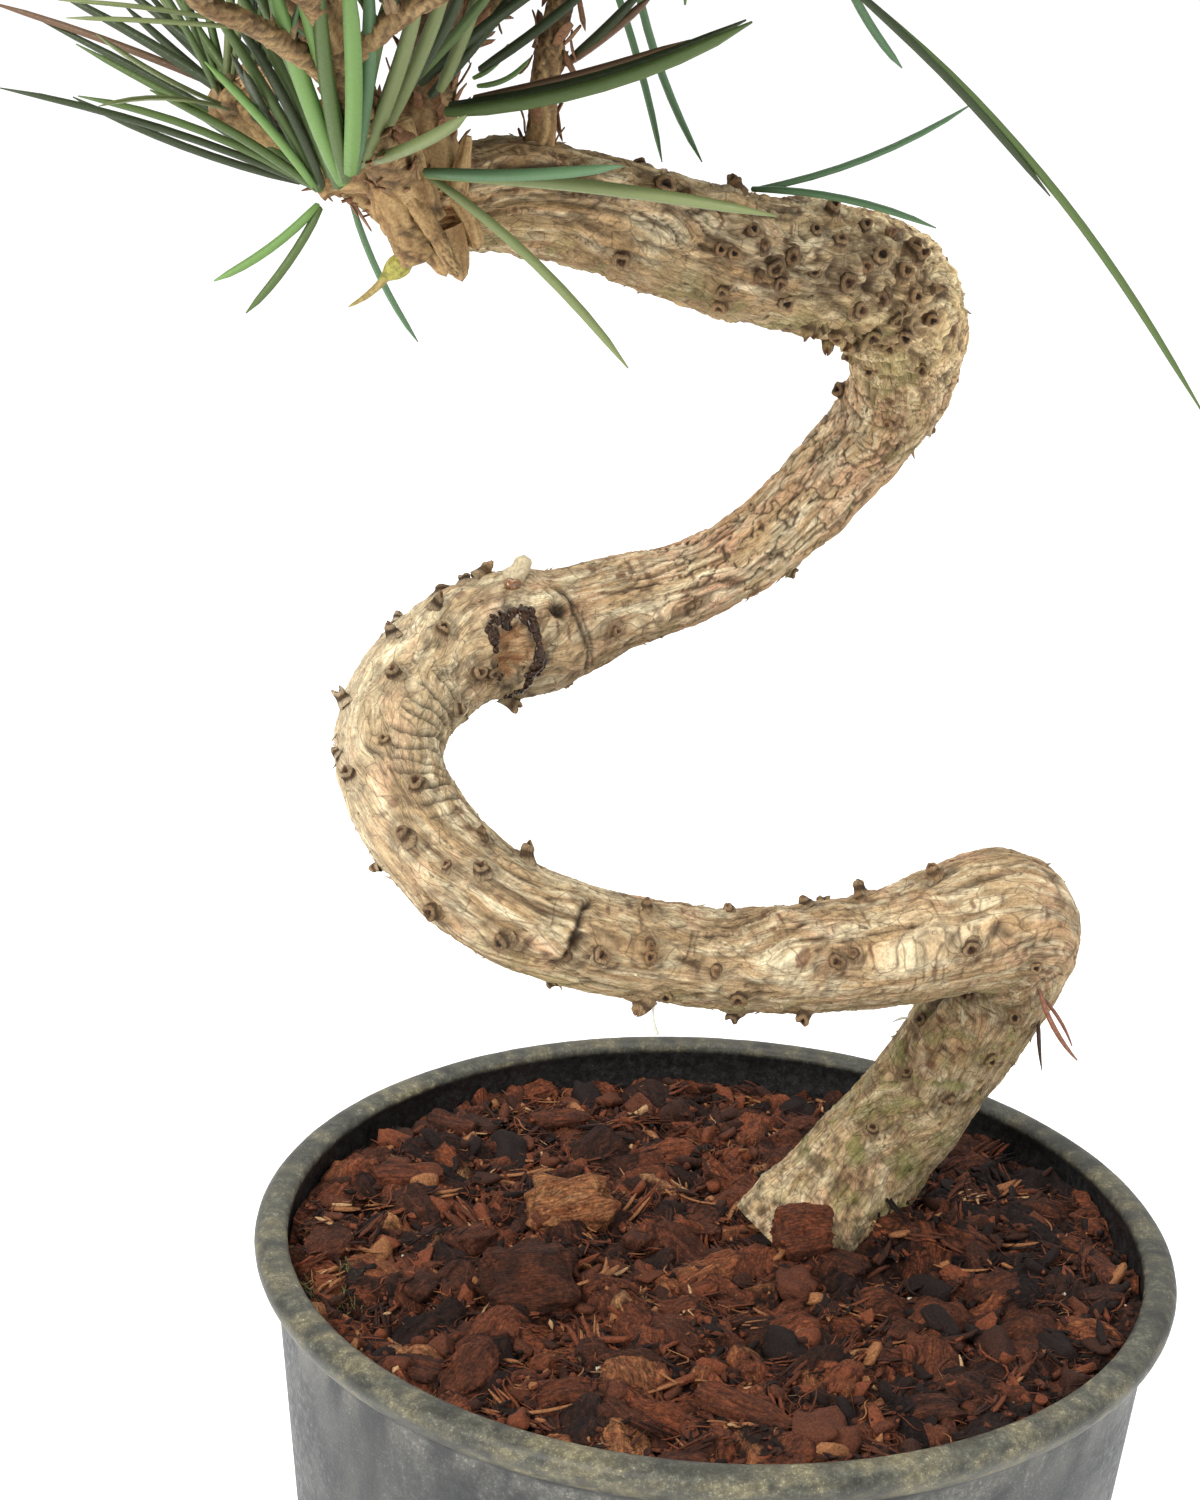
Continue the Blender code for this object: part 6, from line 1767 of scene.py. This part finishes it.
def dress(path, mass, needles, pairs, tone, span=0.5, fit=True, low=0.0, long=(44.0, 68.0)):
    """Needle pairs along the last part of a twig and round its tip."""
    path, s = resample(path, 0.5)
    tangent, side, other = carried_frames(path)
    count = pairs
    at = s[-1] - span * s[-1] * RNG.uniform(0, 1, count) ** 1.4
    index = np.clip(np.searchsorted(s, at), 1, len(s) - 1)
    turn = np.arange(count) * 2.399963 + RNG.normal(0, 0.3, count)
    axis, a, b = tangent[index], side[index], other[index]
    out = a * np.cos(turn)[:, None] + b * np.sin(turn)[:, None]
    share = (s[-1] - at) / max(span * s[-1], 1e-6)
    angle = np.radians(14 + 46 * share**0.7 + RNG.normal(0, 9, count)).clip(0.08, 1.45)
    direction = unit(axis * np.cos(angle)[:, None] + out * np.sin(angle)[:, None] + np.array([0, 0, low]))
    base = path[index] + out * 0.9
    wanted = RNG.uniform(*long, count)
    if fit:
        length = fitted_lengths(base, direction, wanted, mass, RNG.uniform(0.94, 1.16, count))
        keep = (length > 15.0) & ~against_sky(base, direction, length)
        base, direction, length, out = base[keep], direction[keep], length[keep], out[keep]
    else:
        length = wanted
    n = len(base)
    if not n:
        return
    split = unit(np.cross(direction, RNG.normal(0, 1, (n, 3))))
    gape = RNG.uniform(0.015, 0.085, n)
    sheath = RNG.uniform(2.6, 4.2, n)
    start = base + direction * (sheath * 0.55)[:, None]
    droop, bow = RNG.uniform(-0.02, 0.07, n), RNG.normal(0, 0.05, n)
    width = RNG.uniform(1.15, 1.5, n)
    tones = np.clip(tone + RNG.choice((-1, 0, 0, 0, 1), n), 0, 4)
    for sign in (-1, 1):
        heading = unit(direction + split * (sign * gape)[:, None])
        p = needle_paths(start + split * (sign * 0.28), heading, length * RNG.uniform(0.93, 1.0, n), droop, bow)
        lo, hi = FILL_LIMIT
        p = np.clip(p, lo, hi)
        for value in np.unique(tones):
            on = tones == value
            needles.add(mass, int(value), p[on], width[on])
    t = np.linspace(0, 1, 4)
    paths = base[:, None] - direction[:, None] * 0.8 + direction[:, None] * ((sheath + 0.8)[:, None] * t)[..., None]
    radii = np.array((0.62, 0.80, 0.72, 0.55))[None] * RNG.uniform(0.9, 1.15, (n, 1))
    SHEATHS.add("sheath", *strands(paths, radii, np.full(n, 0.85), 6))


def bud(place, direction, size=1.0):
    """A pointed winter bud."""
    t = np.linspace(0, 1, 9)
    path = place + np.outer(t * 7.0 * size, direction)
    radii = np.array((1.2, 1.75, 2.0, 1.95, 1.7, 1.35, 0.95, 0.55, 0.12)) * size
    BUDS.add("bud", *strands(path[None], radii[None], np.array([1.0]), 12))
    a, b = across(direction)
    for k in range(26):
        turn, up = k * 2.399963, 0.06 + 0.86 * (k / 26.0)
        out = a * math.cos(turn) + b * math.sin(turn)
        r = float(np.interp(up, t, radii))
        at = place + direction * (up * 7.0 * size) + out * r * 0.92
        lean = unit(direction * 0.9 + out * 0.35)
        BUDS.add("bud", *prism_chips(at[None], unit(out + direction * 0.1)[None], lean[None], np.array([1.9 * size]), np.array([1.0 * size]), np.array([0.22]), 6, RNG))


def build_crown():
    needles = Needles()
    bends = np.array(STEM_BENDS)
    rng = np.random.default_rng(77)
    ends, routes = {}, {}
    for name, (bend, toward, mass, base) in BOUGHS.items():
        row = along_bends(STEM_BENDS, np.array([bend]))[0]
        place, radius = row[:3], row[3]
        toward = unit(np.array(toward))
        near = along_bends(STEM_BENDS, np.array([max(bend - 0.05, 0.0), min(bend + 0.05, 24.0)]))
        ahead = unit(near[1, :3] - near[0, :3])
        if name in FORKS:
            parent, share = FORKS[name]
            stalk, radius = routes[parent]
            at = share * (len(stalk) - 1)
            place = stalk[int(at)] + (stalk[int(at) + 1] - stalk[int(at)]) * (at - int(at))
            ahead = unit(stalk[int(at) + 1] - stalk[int(at)])
        lean = float(toward @ ahead)
        if lean > 0.6 and name not in FORKS:
            outer = place + toward * (1.35 * radius + 1.6)
        else:
            off = unit(toward - ahead * lean)
            outer = place + off * (1.03 * radius + 1.0 + base * abs(lean))
        goal = np.array(MASSES[mass][0])
        route = bough_route(outer, toward, goal)
        routes[name] = (bough_route(outer, toward, goal, 7), base)
        inner = place + (outer - place) * 0.35
        lead = bough_route(inner, unit(outer - inner + toward * 2), outer, 12)[:-1]
        route = route[: max(8, int(SHORT_BOUGHS.get(name, 1.0) * len(route)))]
        full = np.concatenate([lead, route])
        ends[name] = (full, base)
        slim = 0.86 if name == "shoot_standing" else 1.05
        parts = [scaly_bough(full, base * slim, base * 0.50, 200 + len(name))]
        mains = [(mass, full, 0.45)]
        if name == "shoot_leader":
            top = np.array(MASSES["needles_top"][0])
            climb = bough_route(route[-1], unit(route[-1] - route[-6]), top - np.array([0, 0, 4.0]))
            parts.append(scaly_bough(np.concatenate([route[-8:-1], climb]), base * 0.62, base * 0.42, 231, flare=0.0))
            aside = bough_route(route[-14], unit(np.array([-0.6, -0.25, 0.75])), np.array(MASSES["needles_upper_left"][0]))
            parts.append(scaly_bough(aside, base * 0.50, base * 0.34, 233, flare=0.1))
            mains += [("needles_top", climb, 0.6), ("needles_upper_left", aside, 0.6)]
        joined_bough("bough_" + name, parts, (name,))
        for mass_name, main, first in mains:
            grow_mass(mass_name, main, first, needles, rng)
    build_stubs()
    build_photo_needles(needles)
    needles.build()
    mesh = SHEATHS.mesh("sheath", "needle_sheaths")
    piece("needle_sheaths", mesh, plain_look("needle_sheath", srgb(132, 108, 78), 0.8, 0.25, 2200.0, 0.5))
    mesh = BUDS.mesh("bud", "winter_buds")
    piece("winter_buds", mesh, plain_look("winter_bud", srgb(178, 142, 104), 0.7, 0.25, 2200.0, 0.5))
    build_scales(ends)
    mesh = SCALES.mesh("scale", "bud_scales", False)
    piece("bud_scales", mesh, plain_look("bud_scale", srgb(124, 86, 56), 0.75, 0.35, 2200.0, 0.5))
    joined_bough("twigs", TWIGS)


def grow_mass(mass, main, first, needles, rng):
    """Twigs of a mass by a seeded rule: they leave the main limb in a spiral, bend upward and stop short of the mass's surface."""
    centre, half = np.array(MASSES[mass][0]), np.array(MASSES[mass][1])
    order = sorted(MASSES)
    tone = (order.index(mass) * 2) % 5
    count = {"needles_left": 7, "needles_front": 6, "needles_top": 10, "needles_right": 9}.get(mass, 8)
    pairs = 56 if mass in ("needles_left", "needles_front") else 46
    for k in range(count):
        turn = 2.399963 * k + 0.7 * order.index(mass) + rng.normal(0, 0.2)
        level = -0.35 + 1.0 * (k + 0.5) / count + rng.normal(0, 0.08)
        flat = math.sqrt(max(0.05, 1 - level * level))
        apex = centre + half * np.array([0.52 * flat * math.cos(turn), 0.52 * flat * math.sin(turn), 0.50 * level])
        if mass == "needles_left":
            apex = 0.14 * apex + 0.86 * (main[-1] + np.array([-1.0, 0.0, 2.0]))
        share = first + (0.95 - first) * (k + 0.5) / count
        at = main[int(share * (len(main) - 1))]
        ahead = unit(main[min(len(main) - 1, int(share * (len(main) - 1)) + 1)] - main[max(0, int(share * (len(main) - 1)) - 1)])
        toward = unit(ahead * 0.7 + unit(apex - at) * 0.8)
        twig = bough_route(at, toward, apex, 24)
        rise = unit(unit(apex - centre) * 0.6 + np.array([0, 0, 0.8]) + rng.normal(0, 0.12, 3))
        tip = bough_route(apex, unit(twig[-1] - twig[-3]), apex + rise * (4.0 if mass == "needles_left" else 7.0), 10)[1:]
        twig = np.concatenate([twig, tip])
        TWIGS.append(scaly_bough(twig, 1.55, 1.15, 300 + k + 20 * order.index(mass), around=14, step=0.6, flare=0.3))
        dress(twig, mass, needles, pairs, int(tone + k % 3 - 1) % 5, span=0.62)
        bud(twig[-1], unit(twig[-1] - twig[-3]), rng.uniform(0.62, 0.85))


# Needles that the photograph shows one by one: start pixel, end pixel, depth y at each end, width, tone, sideways bow.
PHOTO_NEEDLES = (
    (312, 186, 0, 88, -66, -70, 1.1, 0, 0.03), (300, 182, 73, 97, -64, -60, 1.2, 0, -0.03), (318, 190, 78, 96, -66, -72, 1.15, 1, 0.05),
    (290, 118, -14, 1, -62, -50, 1.25, 5, 0.02), (300, 150, 55, -8, -66, -58, 1.5, 0, 0.03), (300, 150, 112, -20, -60, -45, 1.35, 0, 0.03),
    (318, 190, 150, 90, -66, -76, 1.3, 1, 0.03), (300, 165, 76, 44, -64, -58, 1.15, 1, 0.0), (314, 186, 205, 62, -70, -80, 1.4, 2, 0.03),
    (312, 176, 40, 20, -62, -52, 1.2, 0, 0.02), (318, 190, 168, -18, -64, -52, 1.4, 1, -0.02), (320, 190, 200, -10, -68, -84, 1.5, 1, 0.02),
    (316, 184, 130, -10, -58, -44, 1.4, 0, 0.02), (322, 186, 228, 10, -70, -86, 1.4, 0, 0.04), (310, 170, 140, 40, -56, -40, 1.3, 5, 0.05), (318, 180, 180, 100, -58, -50, 1.3, 0, -0.03),
    (318, 205, 214, 281, -66, -70, 1.35, 2, -0.05), (320, 208, 246, 313, -66, -68, 1.45, 1, -0.04),
    (352, 204, 418, 342, -60, -40, 1.0, 3, 0.04),
    (432, 178, 628, 368, -68, -78, 1.6, 4, -0.04), (426, 172, 622, 166, -70, -92, 1.9, 3, 0.03), (426, 174, 776, 216, -70, -92, 1.9, 4, -0.02),
    (372, 160, 466, 116, -76, -96, 2.0, 4, 0.05),
    (446, 112, 752, 22, -68, -72, 2.1, 1, 0.055), (450, 106, 746, 20, -66, -69, 1.8, 0, 0.045), (474, 98, 690, 40, -64, -62, 1.3, 5, 0.02),
    (754, 190, 972, 104, -20, -10, 1.15, 3, 0.05), (752, 189, 936, 228, -24, -34, 1.15, 3, -0.05),
    (609, -30, 662, 162, -30, -20, 1.2, 3, -0.02), (636, -20, 702, 162, -30, -18, 1.2, 3, 0.04),
    (842, -30, 902, 68, -40, -34, 1.3, 3, 0.04),
    (474, 78, 508, 44, -46, -36, 0.9, 2, 0.1), (478, 86, 530, 58, -46, -36, 0.9, 2, 0.12),
    (338, 186, 246, -30, -76, -102, 2.1, 1, 0.03), (342, 182, 268, -30, -78, -104, 2.4, 2, -0.02), (344, 178, 292, -30, -80, -104, 2.2, 2, 0.03),
    (346, 180, 318, -30, -80, -106, 2.0, 1, -0.03), (350, 172, 346, -30, -82, -106, 2.4, 2, 0.03), (352, 172, 368, -28, -80, -100, 2.0, 3, 0.04),
    (356, 172, 396, -25, -78, -98, 1.8, 1, -0.03), (360, 165, 424, -25, -78, -96, 2.1, 4, 0.03), (372, 150, 452, -30, -76, -90, 2.0, 4, 0.03), (330, 176, 232, -20, -70, -84, 1.7, 1, 0.02),
    (398, 100, 470, -30, -74, -86, 1.6, 0, 0.04), (400, 92, 500, -20, -72, -82, 1.6, 1, 0.02), (420, 84, 560, -25, -68, -72, 1.6, 0, -0.03), (430, 96, 530, -30, -70, -66, 1.7, 0, 0.02),
    (480, 70, 600, -22, -66, -62, 1.5, 0, 0.02), (440, 90, 486, -30, -72, -76, 1.8, 4, 0.02), (360, 120, 300, 0, -60, -40, 1.5, 0, 0.05), (345, 150, 240, 40, -58, -42, 1.4, 0, -0.03),
    (570, 60, 644, -12, -48, -58, 1.5, 0, 0.02), (566, 64, 652, -4, -48, -56, 1.4, 5, 0.02),
)
LONG_NEEDLES = (
    (((846, -18), (862, -2), (940, 62), (1015, 142), (1078, 218), (1140, 308), (1206, 418)), -84.0, 1.25, 1),
    (((842, -22), (856, -8), (930, 58), (1002, 136), (1050, 196)), -84.5, 1.15, 0),
)
# Torn stubs and flaps where the boughs leave the stem: pixels along each, depth y, radii at its two ends.
STUBS = (
    (((374, 168), (392, 205), (412, 240), (424, 262)), -65.5, 2.3, 2.9), (((402, 180), (424, 214), (444, 250), (458, 276)), -67.0, 1.5, 0.8),
    (((446, 226), (456, 254), (462, 281)), -63.0, 2.4, 0.9), (((430, 246), (440, 262), (446, 276)), -65.0, 1.8, 0.7), (((468, 136), (462, 164), (450, 204)), -62.5, 0.5, 2.0),
    (((410, 150), (420, 190), (430, 226)), -66.0, 1.9, 2.2), (((386, 170), (380, 200), (384, 226)), -66.0, 1.6, 1.0), (((452, 190), (470, 222), (478, 250)), -62.5, 1.7, 0.9),
    (((318, 188), (338, 176), (372, 172)), -66.0, 1.9, 2.6), (((400, 120), (408, 150), (414, 184)), -67.0, 1.5, 1.8),
)


def build_stubs():
    parts = []
    for number, (pixels, y, first, last) in enumerate(STUBS):
        knots = np.array([pixel_at_y(u, v, y) for u, v in pixels])
        path, _ = resample(knots, 0.5)
        for _ in range(4):
            path[1:-1] = (path[:-2] + 2 * path[1:-1] + path[2:]) / 4
        parts.append(scaly_bough(path, first, last, 260 + number, around=26, step=0.35, flare=0.0))
    joined_bough("whorl_stubs", parts)
    # a lime-green bud under the whorl, with one withered needle
    place = pixel_at_y(400, 265, -65.0)
    toward = unit(pixel_at_y(352, 304, -68.0) - place)
    t = np.linspace(0, 1, 9)
    path = place - toward * 1.5 + np.outer(t * 5.0, toward)
    points, quads, tris = strands(path[None], np.array(((0.9, 1.4, 1.7, 1.75, 1.6, 1.3, 0.9, 0.6, 0.2),)), np.array([0.9]), 14)
    piece("green_bud", make_mesh("green_bud", points, [quads, tris]), plain_look("green_bud", srgb(142, 136, 62), 0.7, 0.45, 1500.0, 0.6))
    t = np.linspace(0, 1, 11)
    path = place + toward * 1.5 + np.outer(t * 7.2, toward) + np.outer(0.5 * np.sin(np.pi * t), (0.0, 0.0, -1.0))
    points, quads, tris = strands(path[None], np.array(((0.55, 0.75, 0.8, 0.75, 0.7, 0.65, 0.6, 0.5, 0.4, 0.3, 0.1),)), np.array([0.6]), 8)
    piece("withered_needle", make_mesh("withered_needle", points, [quads, tris]), plain_look("withered_needle", srgb(150, 132, 78), 0.7, 0.3, 1500.0, 0.4))


def build_scales(ends):
    """Papery bud scales and torn strips round the foot of each bough."""
    for name, (path, base) in ends.items():
        path, s = resample(path, 0.5)
        tangent, side, other = carried_frames(path)
        n = 46
        at = np.clip((RNG.uniform(0.05, 0.55, n) ** 1.2 * len(path)).astype(int), 1, len(path) - 2)
        turn = RNG.uniform(0, 2 * np.pi, n)
        out = side[at] * np.cos(turn)[:, None] + other[at] * np.sin(turn)[:, None]
        centre = path[at] + out * (base * 0.98)
        heading = unit(tangent[at] * RNG.choice((-1.0, 1.0, 1.0), n)[:, None] + out * RNG.uniform(0.15, 0.9, n)[:, None])
        normal = unit(out - heading * (out * heading).sum(-1, keepdims=True))
        long = RNG.uniform(1.8, 4.6, n)
        SCALES.add("scale", *prism_chips(centre + heading * (long * 0.3)[:, None], normal, heading, long, long * RNG.uniform(0.25, 0.5, n), np.full(n, 0.22), 7, RNG, 0.10))


def build_photo_needles(needles):
    """The single needles seen in the photograph, each from a shoot or tuft that carries it."""
    t = np.linspace(0, 1, 9)
    lo, hi = FILL_LIMIT
    for u0, v0, u1, v1, y0, y1, width, tone, bow in PHOTO_NEEDLES:
        start, end = pixel_at_y(u0, v0, y0), pixel_at_y(u1, v1, y1)
        along = end - start
        sideways = np.cross(unit(along), unit(EYE - start))
        path = start + np.outer(t, along) + np.outer(bow * np.linalg.norm(along) * 4 * t * (1 - t), sideways)
        path = np.clip(path, lo, hi)
        needles.add("seen", tone, path[None], np.array([width]))
    for pixels, y, width, tone in LONG_NEEDLES:
        knots = np.array([pixel_at_y(u, v, y) for u, v in pixels])
        cut, _ = resample(knots, 4.0)
        for _ in range(3):
            cut[1:-1] = (cut[:-2] + 2 * cut[1:-1] + cut[2:]) / 4
        cut = np.clip(cut, lo, hi)
        needles.add("seen", tone, cut[None], np.array([width]))


# ------------------------------------------------------------------ floor, light, camera
def build_studio():
    scene = bpy.context.scene
    scene.view_settings.view_transform = "Standard"
    scene.view_settings.look = "None"
    scene.view_settings.exposure = 0.0
    world = bpy.data.worlds.new("studio")
    scene.world = world
    world.use_nodes = True
    world.node_tree.nodes["Background"].inputs["Color"].default_value = (1.0, 1.0, 1.0, 1.0)
    world.node_tree.nodes["Background"].inputs["Strength"].default_value = 0.78

    size = 6000.0
    floor = make_mesh("floor", [(-size, -size, 0), (size, -size, 0), (size, size, 0), (-size, size, 0)], np.array([[0, 1, 2, 3]]), False)
    obj = bpy.data.objects.new("floor", floor)
    scene.collection.objects.link(obj)
    look = Look("floor", (0.98, 0.98, 0.98), 0.9, Specular_IOR_Level=0.1, Emission_Color=(1.0, 1.0, 1.0, 1.0), Emission_Strength=0.25)
    floor.materials.append(look.material)

    def area(name, place, aim, power, wide, tall, colour=(1, 1, 1)):
        data = bpy.data.lights.new(name, "AREA")
        data.shape, data.size, data.size_y = "RECTANGLE", wide * MM, tall * MM
        data.energy, data.color = power, colour
        lamp = bpy.data.objects.new(name, data)
        lamp.location = Vector(place) * MM
        lamp.rotation_euler = (Vector(aim) - Vector(place)).to_track_quat("-Z", "Y").to_euler()
        scene.collection.objects.link(lamp)

    area("key", (-560.0, -720.0, 820.0), (0.0, 0.0, 200.0), 11.6, 600.0, 450.0, (1.0, 0.985, 0.96))
    area("fill", (820.0, -420.0, 420.0), (0.0, 0.0, 200.0), 1.8, 700.0, 700.0, (0.97, 0.985, 1.0))
    area("top", (60.0, 160.0, 1150.0), (0.0, 0.0, 200.0), 6.0, 900.0, 700.0)


build_pot()
build_mix_bed()
build_mix_top()
STEM = build_stem()
build_scars(STEM)
build_thorns(STEM)
build_wound(STEM)
SHOOT_LOOK = shoot_look()
build_crown()
build_studio()
build_camera()
